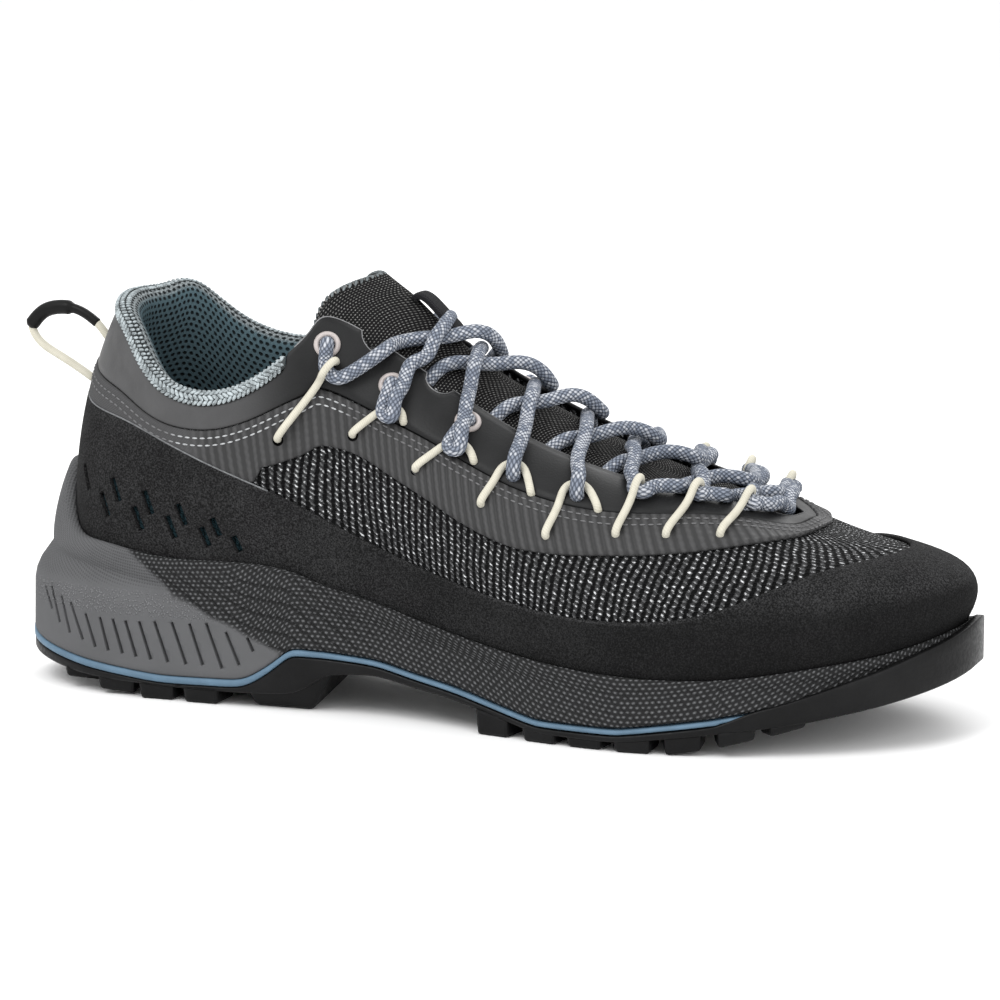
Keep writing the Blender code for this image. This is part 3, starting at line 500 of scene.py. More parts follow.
def cordPiece(name, path, radius, sides=12, taper=2, closed=False):
    # a round cord along a path, with rounded ends, its pattern in millimetres along and round it
    path = np.asarray([tuple(p) for p in path], float)
    tangent = np.gradient(path, axis=0)
    tangent /= np.linalg.norm(tangent, axis=1)[:, None]
    side = np.cross(tangent[0], (0.0, 0.0, 1.0))
    if np.linalg.norm(side) < 1e-3:
        side = np.cross(tangent[0], (0.0, 1.0, 0.0))
    frames = []
    for t in tangent:
        side = side - t * side.dot(t)
        side /= np.linalg.norm(side)
        frames.append((side.copy(), np.cross(t, side)))
    sizes = np.broadcast_to(np.asarray(radius, float), (len(path),)).copy()
    run = distances(path[:, None], 0)[:, 0]
    angle = np.linspace(0, 2 * math.pi, sides + 1)
    rings = [p + r * (np.cos(angle)[:, None] * a + np.sin(angle)[:, None] * b)
             for p, r, (a, b) in zip(path, sizes, frames)]
    if not closed:
        first, final = [], []
        for k in range(taper + 1):
            turn = math.pi / 2 * k / (taper + 0.0001)
            back = math.cos(turn)
            for p, (a, b), t, r, store in ((path[0], frames[0], -tangent[0], sizes[0], first),
                                           (path[-1], frames[-1], tangent[-1], sizes[-1], final)):
                store.append(p + t * r * 0.6 * back + r * math.sin(turn)
                             * (np.cos(angle)[:, None] * a + np.sin(angle)[:, None] * b))
        rings = first[:-1] + rings + final[:-1][::-1]
        run = np.concatenate((np.full(taper, run[0]), run, np.full(taper, run[-1])))
    rings = np.array(rings)
    uv = np.stack(np.broadcast_arrays(run[:, None], angle[None, :] / (2 * math.pi)), -1)
    return gridPiece(name, rings, uv)


def smoothPath(points, step):
    points = np.array([tuple(p) for p in points], float)
    knots = np.concatenate(((0,), np.cumsum(np.linalg.norm(np.diff(points, axis=0), axis=1))))
    count = max(4, int(knots[-1] / step))
    return spline(knots, points, np.linspace(0, knots[-1], count + 1))


def joined(name, objects):
    # several meshes made one piece
    bm = bmesh.new()
    for obj in objects:
        bm.from_mesh(obj.data)
    mesh = bpy.data.meshes.new(name)
    bm.to_mesh(mesh)
    bm.free()
    for obj in objects:
        bpy.data.objects.remove(obj, do_unlink=True)
    result = bpy.data.objects.new(name, mesh)
    bpy.context.scene.collection.objects.link(result)
    return result


def treeOf(*names):
    # the surfaces of finished pieces, for laying others on them
    points, faces = [], []
    for name in names:
        mesh = bpy.data.objects[name].data
        start = len(points)
        points += [v.co.copy() for v in mesh.vertices]
        faces += [[i + start for i in p.vertices] for p in mesh.polygons]
    return BVHTree.FromPolygons(points, faces)


def framed(point, normal, along):
    # a matrix that stands on a point, its z along the normal and its x near another direction
    z = Vector(normal).normalized()
    x = Vector(along)
    x = (x - z * x.dot(z)).normalized()
    return Matrix.Translation(point) @ Matrix((x, z.cross(x), z)).transposed().to_4x4()


def meshPiece(name, bm, smooth=True):
    for face in bm.faces:
        face.smooth = smooth
    mesh = bpy.data.meshes.new(name)
    bm.to_mesh(mesh)
    bm.free()
    obj = bpy.data.objects.new(name, mesh)
    bpy.context.scene.collection.objects.link(obj)
    return obj


def cutFrom(obj, cutter):
    # takes one mesh out of another for good
    cut = obj.modifiers.new("cut", "BOOLEAN")
    cut.operation = "DIFFERENCE"
    cut.solver = "EXACT"
    cut.object = cutter
    bpy.context.view_layer.update()
    result = bpy.data.meshes.new_from_object(obj.evaluated_get(bpy.context.evaluated_depsgraph_get()))
    obj.modifiers.remove(cut)
    obj.data = result
    bpy.data.objects.remove(cutter, do_unlink=True)


def slitCutters(name, tree, slits, depth, innerWide=0.45):
    # rounded wedges sunk into both flanks, each from its upper to its lower end: x, z, x, z, widths
    bm = bmesh.new()
    for side in (-1, 1):
        for x0, z0, x1, z1, wide0, wide1 in slits:
            ends = []
            for x, z in ((x0, z0), (x1, z1)):
                start = Vector((x * 0.001, side * 0.09, z * 0.001))
                ends.append(tree.ray_cast(start, Vector((0, -side, 0)))[:2])
            (top, topNormal), (low, lowNormal) = ends
            normal = topNormal + lowNormal
            normal = (normal if normal.y * side > 0 else -normal).normalized()
            long = (top - low).length / 2
            corners = bmesh.ops.create_cube(bm, size=2.0)["verts"]
            place = framed((top + low) / 2, normal, top - low)
            for v in corners:
                wide = (wide0 if v.co.x > 0 else wide1) * 0.0005 * (1.0 if v.co.z > 0 else innerWide)
                v.co = place @ Vector((v.co.x * long * (1.0 if v.co.z > 0 else 0.86), v.co.y * wide,
                                       0.004 if v.co.z > 0 else -depth))
            edges = [e for e in {e for v in corners for e in v.link_edges}
                     if abs((e.verts[0].co - e.verts[1].co).normalized().dot(normal)) > 0.8]
            bmesh.ops.bevel(bm, geom=edges, offset=min(wide0, wide1) * 0.00022, segments=2, profile=0.5,
                            affect="EDGES", material=-1)
    bmesh.ops.recalc_face_normals(bm, faces=bm.faces)
    return meshPiece(name, bm, False)


def stitchRow(bm, points, normals, pitch, long, thick, slant=0.0):
    # short threads along a line of points, a step in and out of the cloth
    run = distances(points[:, None], 0)[:, 0]
    count = int(run[-1] / pitch)
    for k in range(count):
        spot = (k + 0.5) * pitch
        at, ahead = (Vector([np.interp(s, run, points[:, i]) for i in range(3)]) for s in (spot, spot + 0.2))
        normal = Vector([np.interp(spot, run, normals[:, i]) for i in range(3)])
        shape = (framed(at, normal, ahead - at) @ Matrix.Rotation(slant, 4, "Z")
                 @ Matrix.Diagonal((long / 2000, thick / 2000, thick / 2600, 1)))
        bmesh.ops.create_icosphere(bm, subdivisions=2, radius=1.0, matrix=shape)


def fineLevel(values, at, soften=2.0):
    # a stepped level with its corners eased
    line = np.interp(at, np.arange(cols + 1), np.append(values, values[0]))
    if soften <= 0:
        return line
    reachCols = int(4 * soften)
    weights = np.exp(-0.5 * (np.arange(-reachCols, reachCols + 1) / soften) ** 2)
    ring = line[:-1]
    padded = np.concatenate((ring[-reachCols:], ring, ring[:reachCols]))
    ring = np.convolve(padded, weights / weights.sum(), "valid")
    return np.append(ring, ring[0])


def spineRows(ring, count):
    # rows that close a ring across the foot, from its edge to its middle line
    middle = (ring + ring[::-1]) / 2
    return [ring * (1 - s) + middle * s for s in np.linspace(0, 1, count + 1)[1:]]


# outsole and midsole share these levels
soleAt = fineCols(480)
fineEdge = ringSpline(allCols, soleEdge, soleAt, cols)
fineOut = np.vstack((outward(fineEdge[:-1]), outward(fineEdge[:-1])[:1]))
levels = dict(zip(("blue", "plate", "wrap", "wall", "ledge", "cut"),
                  0.001 * straightRows("blue", "plate", "wrap", "wall", "ledge", "cut")))
levels["wall"][levels["wall"] < 0.0004] = 0.0
lineTop = fineLevel(levels["blue"], soleAt)
lineLow = lineTop - lineThick
plateZ = fineLevel(levels["plate"], soleAt)
wallAt = fineLevel(levels["wall"], soleAt, 3)
ledgeZ = fineLevel(levels["ledge"], soleAt, 4)
cutAt = fineLevel(levels["cut"], soleAt, 4)
shelfZ = lineLow - gap
wrapZ = fineLevel(np.where(levels["wall"] > 0, np.maximum(levels["wrap"], levels["blue"] + 0.0006),
                           levels["blue"] - lineThick - gap), soleAt, 2)


def soleRing(inset, z):
    ring = fineEdge - fineOut * np.broadcast_to(inset, fineEdge.shape[:1])[:, None]
    ring[:, 2] = z
    return ring


# outsole plate with its wrap over the toe, and its lugs
outsoleLook = {"round": 0.0007, "lugSize": 0.0098, "lugBevel": 0.0009}


def makeOutsole():
    r = outsoleLook["round"]
    innerWall = np.maximum(wallAt, 0.0002)
    rows = spineRows(soleRing(0.0035, plateZ), 8)[::-1]
    rows += [soleRing(0.0035, plateZ), soleRing(0.0016, plateZ), soleRing(r * 0.3, plateZ + r * 0.3),
             soleRing(0.0, plateZ + r)]
    for s in (0.25, 0.5, 0.75):
        rows.append(soleRing(0.0, plateZ + r + (wrapZ - plateZ - 2 * r) * s))
    rows += [soleRing(0.0, wrapZ - r * 0.8), soleRing(r * 0.25, wrapZ - r * 0.2), soleRing(r * 0.7, wrapZ),
             soleRing(np.maximum(innerWall - r * 0.3, r * 0.75), wrapZ),
             soleRing(np.maximum(innerWall, r * 0.8), wrapZ - r * 0.3), soleRing(innerWall + 0.001, shelfZ)]
    rows += spineRows(rows[-1], 4)
    points = np.array(rows)
    u = np.repeat(distances(points[12:13], 1), len(rows), axis=0)
    plate = gridPiece("outsole_plate", points, np.stack((u, distances(points, 0)), -1))
    return plate


def treadHeight(x):
    return float(np.interp(x, [p[0] for p in treadLine], [p[1] for p in treadLine]))


def soleHeight(x, key):
    return float(np.interp(x, [pattern[n]["ex"] for n in order], [pattern[n][key] for n in order]))


def edgeY(x, side):
    return float(np.interp(x, [pattern[n]["ex"] for n in order],
                           [pattern[n]["el" if side < 0 else "em"] for n in order])) * side


def lugBlock(x, y, long, wide, turn=0.0, taper=0.94, flat=False):
    # one tread lug, wider at its root, its edges bevelled
    bm = bmesh.new()
    corners = bmesh.ops.create_cube(bm, size=1.0)["verts"]
    c, s = math.cos(math.radians(turn)), math.sin(math.radians(turn))
    for v in corners:
        low = v.co.z < 0
        foot = taper if low else 1.04
        dx, dy = v.co.x * long * foot, v.co.y * wide * foot
        px, py = x + dx * c - dy * s, y + dx * s + dy * c
        down = 0.0 if flat else treadHeight(px)
        v.co = Vector((px, py, down if low else soleHeight(px, "plate") + 0.8)) * 0.001
    bmesh.ops.bevel(bm, geom=bm.edges[:] + bm.verts[:], offset=outsoleLook["lugBevel"], segments=2, profile=0.5,
                    affect="EDGES", material=-1)
    mesh = bpy.data.meshes.new("lug")
    bm.to_mesh(mesh)
    bm.free()
    return bpy.data.objects.new("lug", mesh)


def makeLugs():
    lugs = [lugBlock(x, 0, long, wide, flat=x > -10) for x, long, wide in ((0, 15, 15), (22, 12, 17), (-20, 11, 16))]
    for side in (-1, 1):
        for x, turn in ((-15, 28), (-1, 10), (13, 2), (27, 0)):
            lugs.append(lugBlock(x, edgeY(x, side) - side * 6.8, 10.5, 12.5, -side * turn))
        for x, turn in ((118.5, -10), (133, -10), (146, -5), (159, 3), (172, 10), (185, 22), (197, 30)):
            lugs.append(lugBlock(x, edgeY(x, side) - side * 5.9, 10.0, 11.5, -side * turn))
    for x, row in ((128, (-20, -4, 12)), (141, (-24, -8, 8, 20)), (154, (-26, -9, 8, 24)),
                   (167, (-26, -9, 8, 25)), (180, (-20, -4, 12, 27))):
        lugs += [lugBlock(x, y, 8.5, 9.0, 20) for y in row]
    return lugs


def heelBlock():
    # the big slanted block at the front of the heel
    bm = bmesh.new()
    for v in bmesh.ops.create_cube(bm, size=1.0)["verts"]:
        front, right, low = v.co.x > 0, v.co.y < 0, v.co.z < 0
        x = (60.0 if low else 67.0) if front else (42.5 if low else 40.5)
        x -= 10.0 if front and not right else 0.0
        y = (-33.5 if right else 27.5) * (0.94 if low else 1.0)
        v.co = Vector((x, y, 0.0 if low else soleHeight(x, "plate") + 0.8)) * 0.001
    bmesh.ops.bevel(bm, geom=bm.edges[:] + bm.verts[:], offset=0.0014, segments=3, profile=0.5,
                    affect="EDGES", material=-1)
    mesh = bpy.data.meshes.new("heel_block")
    bm.to_mesh(mesh)
    bm.free()
    return bpy.data.objects.new("heel_block", mesh)


def rubberShade():
    s = Shade("outsoleRubber", Roughness=0.45, Specular_IOR_Level=0.16)
    p = s.place()
    grain = s.noise(p, 900, 4)
    cloud = s.noise(p, 60, 3)
    color = s.blend(s.fade(cloud, 0.35, 0.7), (0.0022, 0.0022, 0.0024), (0.0052, 0.0052, 0.0055))
    return s.finish(color, s.fade(grain, 0.3, 0.7, 0.34, 0.5), s.relief(grain + cloud * 0.5, 0.0003, 0.35))


outsole = joined("outsole_rubber", [makeOutsole()] + makeLugs() + [heelBlock()])
dressed(outsole, rubberShade(), "outsole", "outsole")
print("outsole made")

# light line between outsole and midsole
lineLook = {"color": (0.080, 0.135, 0.190), "proud": 0.0002, "heelMore": 0.0005}


def makeLine():
    edgeIn = np.where(wallAt > 0.0001, wallAt + gap * 2, -lineLook["proud"])
    more = np.clip((0.075 - fineEdge[:, 0]) / 0.03, 0, 1) * lineLook["heelMore"]
    low, top = lineLow - more * 0.4, lineTop + more - 0.0002
    ring = [soleRing(edgeIn + 0.0005, low + 0.00005), soleRing(edgeIn, low + 0.0004),
            soleRing(edgeIn, top - 0.0004), soleRing(edgeIn + 0.0005, top - 0.00005)]
    rows = spineRows(ring[0], 4)[::-1] + ring + spineRows(ring[-1], 4)
    points = np.array(rows)
    u = np.repeat(distances(points[5:6], 1), len(rows), axis=0)
    return gridPiece("outsole_line", points, np.stack((u, distances(points, 0)), -1))


def lineShade():
    s = Shade("edgeLine", Roughness=0.5, Specular_IOR_Level=0.25)
    cloud = s.noise(s.place(), 140, 4)
    color = s.blend(s.fade(cloud, 0.3, 0.75), lineLook["color"], tuple(c * 1.25 for c in lineLook["color"]))
    return s.finish(color, None, s.relief(s.noise(s.place(), 1200, 2), 0.0001, 0.3))


dressed(makeLine(), lineShade(), "edge_line", "outsole_edge_line")

# midsole cup
midsoleLook = {"color": (0.082, 0.083, 0.086), "dark": (0.058, 0.059, 0.061)}
bed = gap + randThick + gap


def makeMidsole():
    footIn = np.where(wallAt > 0.0001, wallAt + gap * 1.5, 0.0)
    rimFine = onColumns(rimV, soleAt)
    rim = lastSurface(soleAt, rimFine, bed + rimThick + cutAt * 0.25)[0]
    toeMix = np.clip(wallAt / 0.0008, 0, 1)[:, None]
    hollow = cutAt + 0.0014 * np.exp(-((fineEdge[:, 0] - 0.002) / 0.022) ** 2)
    deepCut = np.clip(hollow - 0.001, 0, 1)
    shoulder = (soleRing(footIn + hollow + deepCut * 0.45, ledgeZ + 0.002 + deepCut * 0.9) * (1 - toeMix)
                + (soleRing(footIn, ledgeZ) + rim) / 2 * toeMix)
    bulging = (shoulder + rim) / 2 + fineOut * (cutAt * 0.9 - deepCut * 0.35)[:, None]
    low = soleRing(footIn, lineTop + gap + 0.0008)
    edgeTop = soleRing(footIn + 0.0003, np.minimum(ledgeZ - 0.0015 - deepCut * 1.3, rim[:, 2] - 0.003))
    rows = spineRows(soleRing(footIn + 0.0010, lineTop + gap), 3)[::-1]
    rows += [soleRing(footIn + 0.0010, lineTop + gap), soleRing(footIn + 0.0003, lineTop + gap + 0.0002)]
    rows += mixRows(low, edgeTop, 14)
    turn = edgeTop * 0.3 + shoulder * 0.3 + soleRing(footIn + 0.0004, ledgeZ + 0.0010 - deepCut * 0.4) * 0.4
    rows += [edgeTop * 0.5 + turn * 0.5 + fineOut * (deepCut * 0.10)[:, None], turn, turn * 0.5 + shoulder * 0.5]
    rows += [shoulder * (1 - s) ** 2 + bulging * 2 * s * (1 - s) + rim * s * s for s in np.linspace(0, 1, 10)]
    inner = lastSurface(soleAt, rimFine, bed)[0]
    rows += [(rim * 2 + inner) / 3 + up * 0.0004, (rim + inner * 2) / 3 + up * 0.0004, inner]
    floor = lastSurface(soleAt, 0, bed)[0]
    rows += mixRows(inner, floor, 4)[1:] + spineRows(floor, 3)
    points = np.array(rows)
    u = np.repeat(distances(points[6:7], 1), len(rows), axis=0)
    return gridPiece("midsole_foam", points, np.stack((u, distances(points, 0)), -1))


def foamShade():
    # smooth heel, stippled band over its ledge, and a beaded texture forward and up from a slanting border
    s = Shade("midsoleFoam", Roughness=0.82, Specular_IOR_Level=0.2)
    p = s.place()
    x, _, z = s.split(p)
    u, v, _ = s.split(s.cloth())
    x, z = x * 1000, z * 1000
    wander = s.noise(p, 120, 2) * 2.4 - 1.2
    steep, flat = 41.8 - (x - 5.8) * 0.9, 37.6 - (x - 1.0) * 0.415
    beaded = s.fade(z - steep.most(flat) + wander, -1.0, 1.2).most(s.fade(x, 50, 54))
    band = s.fade(z, 23.2, 24.6) * s.fade(z, 31.2, 29.8)
    row = s.floor(v / 1.3 + 0.5)
    bead = s.cells(s.join(u / 1.75 + row * 0.5, v / 1.3), 1.0, jitter=0.16)
    round_ = s.fade(bead, 0.46, 0.12)
    groove = (s.fade(s.size(s.fract((u * 0.72 + v) / 4.3) - 0.5), 0.14, 0.03) * s.fade(z, 44, 34)
              * s.fade(x, 86, 70, 0.35, 1.0))
    cloud = s.noise(p, 45, 4)
    net = s.wave(u * 3.6 + v * 3.0) * s.wave(u * 3.6 - v * 3.0) * s.fade(z, 30, 34) * 0.5 + 0.5
    stipple = s.cells(p, 1250)
    plain = s.blend(s.fade(cloud, 0.3, 0.72), midsoleLook["color"], tuple(c * 1.14 for c in midsoleLook["color"]))
    speck = s.fade(stipple, 0.55, 0.2)
    plain = s.blend(s.fade(net, 0.48, 0.2) * 0.6, plain, tuple(c * 0.5 for c in midsoleLook["color"]))
    plain = s.blend(speck * band * 0.55, plain, tuple(c * 2.3 for c in midsoleLook["color"]))
    knit = s.blend(round_, tuple(c * 0.20 for c in midsoleLook["dark"]), tuple(c * 1.9 for c in midsoleLook["dark"]))
    knit = s.blend(groove * 0.8, knit, tuple(c * 0.14 for c in midsoleLook["dark"]))
    color = s.blend(beaded, plain, knit)
    height = (round_ - groove * 0.9) * beaded + speck * band * 0.5 + net * 0.3 + s.fade(cloud, 0.3, 0.7) * 0.1
    return s.finish(color, None, s.relief(height, 0.0007, 0.9))


midsole = makeMidsole()
slits = ((-25.9, 27.7, -22.9, 22.8), (-22.8, 28.3, -19.6, 19.2), (-18.7, 26.3, -15.6, 16.8),
         (-15.1, 25.0, -10.6, 15.5), (-9.5, 22.4, -6.2, 14.0), (-4.4, 21.9, -1.8, 13.4), (-0.1, 21.9, 2.9, 13.0),
         (4.0, 21.8, 7.3, 12.4), (8.4, 22.0, 12.0, 12.0), (13.2, 22.4, 17.4, 11.6), (18.6, 22.6, 23.0, 11.4),
         (24.1, 22.6, 28.2, 11.6), (29.2, 23.2, 34.2, 11.0), (35.3, 20.9, 39.4, 12.6), (42.0, 19.4, 43.6, 17.2))
cutFrom(midsole, slitCutters("slits", treeOf("midsole_foam"), [(a - 0.2, b + 0.9, c + 0.3, d - 1.0, 1.5, 1.9) for a, b, c, d in slits], 0.0014))
dressed(midsole, foamShade(), "midsole", "midsole")
print("midsole made")

# insole
insoleLook = {"color": (0.03, 0.05, 0.062)}


def makeInsole():
    at = fineCols(240)
    ring = lastSurface(at, 0, -wall - 0.0006)[0]
    foot = ringSpline(allCols, feather, at, cols)[:, 2]
    low, top, edge = ring.copy(), ring.copy(), ring.copy()
    low[:, 2], top[:, 2], edge[:, 2] = foot, foot + 0.0035, foot + 0.0026
    topIn = (top * 0.96 + (top + top[::-1]) / 2 * 0.04)
    rows = spineRows(low, 3)[::-1] + [low, edge, topIn] + spineRows(topIn, 14)
    points = np.array(rows)
    across = np.clip((np.arange(len(rows)) - 5) / 14, 0, 1)
    points[:, :, 2] -= (0.0012 * np.sin(across * math.pi / 2) ** 2)[:, None] * (points[:, :, 0] < 0.08)
    return gridPiece("footbed", points, points[:, :, :2] * 1000)


def footbedShade():
    s = Shade("footbedKnit", Roughness=0.9)
    uv = s.cloth()
    knit = s.cells(uv, 0.9, jitter=0.15)
    color = s.blend(s.fade(knit, 0.1, 0.5), insoleLook["color"], tuple(c * 1.6 for c in insoleLook["color"]))
    return s.finish(color, None, s.relief(knit, 0.0004, 0.6))


dressed(makeInsole(), footbedShade(), "footbed", "insole")
print("insole made")

# upper shell of mesh cloth
upperLook = {"columns": 420, "color": (0.007, 0.007, 0.0075), "thread": (0.075, 0.076, 0.078),
             "fleck": (0.58, 0.59, 0.60), "hole": (0.0025, 0.0025, 0.0028), "window": (0.010, 0.024, 0.030)}
riseRows = (mixRows(0 * rimV, rimV, 2) + mixRows(rimV, randV, 4)[1:] + mixRows(randV, lowV, 8)[1:]
            + mixRows(lowV, topV, 4)[1:] + mixRows(topV, 1 + 0 * topV, 6)[1:])


def makeUpper():
    at = fineCols(upperLook["columns"])
    heights = [onColumns(v, at) for v in riseRows]
    rows = [lastSurface(at, v)[0] for v in heights]
    rows.append(lastSurface(at, heights[-1], -wall * 0.5)[0] + up * 0.0003)
    rows += [lastSurface(at, v, -wall)[0] for v in heights[::-1][::3]]
    points = np.array(rows)
    u = np.repeat(distances(points[10:11], 1), len(rows), axis=0)
    return gridPiece("upper_cloth", points, np.stack((u, distances(points, 0)), -1), closedAlong=True)


def meshShade():
    # knitted ridges that lean to the toe, twisted out of grey and pale threads, with dark holes between
    s = Shade("upperMesh", Roughness=0.9, Specular_IOR_Level=0.1)
    u, v, _ = s.split(s.cloth())
    x, y, z = s.split(s.place())
    lean = s.fade(x, 0.070, 0.190, 0.04, 0.62) * s.fade(y, -0.015, 0.015, 1.0, -1.0)
    wander = s.noise(s.join(u * 0.06, v * 0.06), 1.0, 3)
    across = (u - (v - 40) * lean + wander * 3.2) / 2.45
    cell = s.fract(across) - 0.5
    wale = s.fade(s.size(cell + s.wave(v * 2.3 + s.floor(across) * 2.1) * 0.09), 0.42, 0.14)
    jump = s.noise(s.join(s.floor(across) * 7.3, v * 0.12), 1.0, 2) * 1.4
    slant = s.wave((v / 1.4 + cell * 0.9 + jump) * (2 * math.pi)) * 0.5 + 0.5
    between = s.size(s.fract(v / 1.4 + s.floor(across + 0.5) * 0.5) - 0.5)
    hole = s.fade(s.size(cell), 0.24, 0.38) * s.fade(between, 0.46, 0.26)
    ridge = wale * s.fade(slant, 0.1, 0.8, 0.35, 1.0)
    random = s.noise(s.join(u * 0.9, v * 1.2), 1.0, 3, 0.7)
    spark = s.fade(random, 0.50, 0.60) * s.fade(slant, 0.35, 0.8)
    color = s.blend(ridge, upperLook["color"], upperLook["thread"])
    color = s.blend(ridge * spark, color, upperLook["fleck"])
    color = s.blend(hole, color, upperLook["hole"])
    window = s.fade(x, 0.0415, 0.0400) * s.fade(z, 0.0652, 0.0642)
    color = s.blend(window, color, upperLook["window"])
    return s.finish(color, None, s.relief(ridge + wale * 0.5 - hole, 0.0010, 1.0))


dressed(makeUpper(), meshShade(), "upper_mesh", "upper")
print("upper made")


def skinBand(name, low, top, base, thick, steps, columns, rounding=0.0004):
    # a layer on the upper between two seams, with rounded edges
    at = fineCols(columns)
    low, top = low(at) if callable(low) else onColumns(low, at), onColumns(top, at)
    slope = np.linalg.norm(bezierSlope(cageAt(at), (low + top) / 2), axis=1)
    ease = rounding / slope
    outer = [lastSurface(at, low + (top - low) * k / steps, base + thick)[0] for k in range(steps + 1)]
    outer[0] = lastSurface(at, low + ease, base + thick)[0]
    outer[-1] = lastSurface(at, top - ease, base + thick)[0]
    rows = [lastSurface(at, low, base + thick * 0.55)[0]] + outer
    rows += [lastSurface(at, top, base + thick * 0.55)[0], lastSurface(at, top, base)[0],
             lastSurface(at, (low + top) / 2, base)[0], lastSurface(at, low, base)[0]]
    points = np.array(rows)
    u = np.repeat(distances(points[steps // 2:steps // 2 + 1], 1), len(rows), axis=0)
    return gridPiece(name, points, np.stack((u, distances(points, 0)), -1), closedAlong=True)


# microsuede rand, toe cap to heel counter
# shade sets how dark the painted shade on the rand's downward-facing parts goes
randLook = {"color": (0.0060, 0.0060, 0.0062), "nap": (0.0480, 0.0480, 0.0490), "shade": 0.10}


def suedeShade():
    s = Shade("randSuede", Roughness=0.95, Specular_IOR_Level=0.08)
    p = s.place()
    nap = s.noise(p, 2100, 4, 0.7)
    cloud = s.noise(p, 55, 4)
    _, _, facing = s.split(s.add("ShaderNodeNewGeometry", {}, {}, "Normal"))
    x, _, _ = s.split(p)
    color = s.blend(s.fade(nap * 0.85 + cloud * 0.15, 0.40, 0.68), randLook["color"], randLook["nap"])
    # painted shade: the rand is darkened where its surface faces down, more so toward the toe
    paintedUnderShade = s.fade(facing, 0.62, 0.18) * s.fade(x, 0.04, 0.19, 0.35, 1.0)
    color = s.blend(paintedUnderShade * 0.72, color, tuple(c * randLook["shade"] for c in randLook["nap"]))
    return s.finish(color, None, s.relief(nap, 0.0003, 0.6))


rand = skinBand("rand_suede", rimV * 0.5, randV - 0.002, gap, randThick, 16, 480)
slots = ((-13.6, 63.6, -11.0, 57.6), (-1.6, 61.6, 1.0, 55.8), (-5.6, 57.0, -3.0, 51.2), (9.6, 59.0, 12.0, 53.2),
         (6.2, 54.2, 8.6, 48.4), (20.4, 56.0, 22.6, 50.8), (17.0, 52.4, 19.2, 46.8), (31.0, 52.6, 33.0, 48.4),
         (27.6, 49.8, 29.6, 45.2), (37.4, 47.8, 39.2, 44.4))
cutFrom(rand, slitCutters("slots", treeOf("rand_suede"), [(a - 0.25, b + 0.7, c + 0.25, d - 0.7, 2.3, 2.3) for a, b, c, d in slots], 0.0016, 0.9))
dressed(rand, suedeShade(), "rand", "rand")
print("rand made")


def threadShade(name, dark, light, lowX, highX):
    # sewing thread, paler over part of the length
    s = Shade(name, Roughness=0.7, Specular_IOR_Level=0.2)
    p = s.place()
    x, y, z = s.split(p)
    pale = s.fade(x, lowX - 0.006, lowX) * s.fade(x, highX + 0.006, highX)
    color = s.blend(pale, dark, light)
    color = s.blend(s.fade(s.noise(p, 900, 3), 0.35, 0.7) * 0.4, color, dark)
    return s.finish(color, None, s.relief(s.wave((x + y + z) * 9000), 0.0001, 0.4))


edgeAt = np.linspace(-9.3, 9.3, 140)
edgePath = lastSurface(edgeAt, onColumns(randV - 0.002, edgeAt), gap + randThick * 0.75)[0]
randEdge = cordPiece("rand_edge", edgePath, 0.00026, 8)
dressed(randEdge, threadShade("edgeThread", (0.035, 0.035, 0.037), (0.17, 0.175, 0.18), -0.020, 0.045), "rand")

# ribbed film round the throat
filmLook = {"color": (0.056, 0.056, 0.057), "heel": (0.095, 0.095, 0.097), "pitch": 2.75}


def filmShade():
    # soft upright ribs, and a close weave behind the ankle
    s = Shade("ribbedFilm", Roughness=0.5, Specular_IOR_Level=0.14)
    u, v, _ = s.split(s.cloth())
    x, _, _ = s.split(s.place())
    heel = s.fade(x, 0.030, 0.020)
    rib = s.wave((u + v * 0.10) * (2 * math.pi / filmLook["pitch"])) * 0.5 + 0.5
    pad = s.wave(v * (2 * math.pi / 2.3) + s.floor(u / filmLook["pitch"]) * 1.7) * 0.5 + 0.5
    soft = rib * (0.72 + pad * 0.28)
    weave = s.wave(u * 7.4 + v * 7.4) * s.wave(u * 7.4 - v * 7.4) * 0.5 + 0.5
    cloud = s.noise(s.place(), 120, 4)
    color = s.blend(s.fade(soft, 0.1, 0.9), tuple(c * 0.55 for c in filmLook["color"]), filmLook["color"])
    cloth = s.blend(s.fade(weave, 0.25, 0.8), tuple(c * 0.5 for c in filmLook["heel"]), filmLook["heel"])
    color = s.blend(heel, color, cloth)
    rough = s.fade(cloud, 0.3, 0.7, 0.46, 0.62).most(heel * 0.85)
    return s.finish(color, rough, s.relief(soft * (1 - heel) + weave * heel * 0.6, 0.0005, 0.8))


def filmLow(at):
    # the low edge, which drops to the rand behind the heel corner
    low, top = onColumns(lowV, at), onColumns(randV, at) - 0.001
    meets = np.clip((0.080 - (low - top)) / 0.020, 0, 1)
    return low - (low - top) * meets


film = skinBand("ribbed_film", filmLow, topV, gap, filmThick, 8, 480, 0.0003)
dressed(film, filmShade(), "film", "eyestay")

# smooth panel round the collar, which runs on as the lace facing
collarEnd = int(round(columnOf(5, -1)))
isCollar = (allCols <= collarEnd) | (allCols >= cols - collarEnd)
panelLook = {"collar": (0.056, 0.056, 0.057), "facing": (0.0095, 0.0097, 0.0100), "notches": ((73.0, 4.2, 0.0042), (91.5, 4.0, 0.0040))}


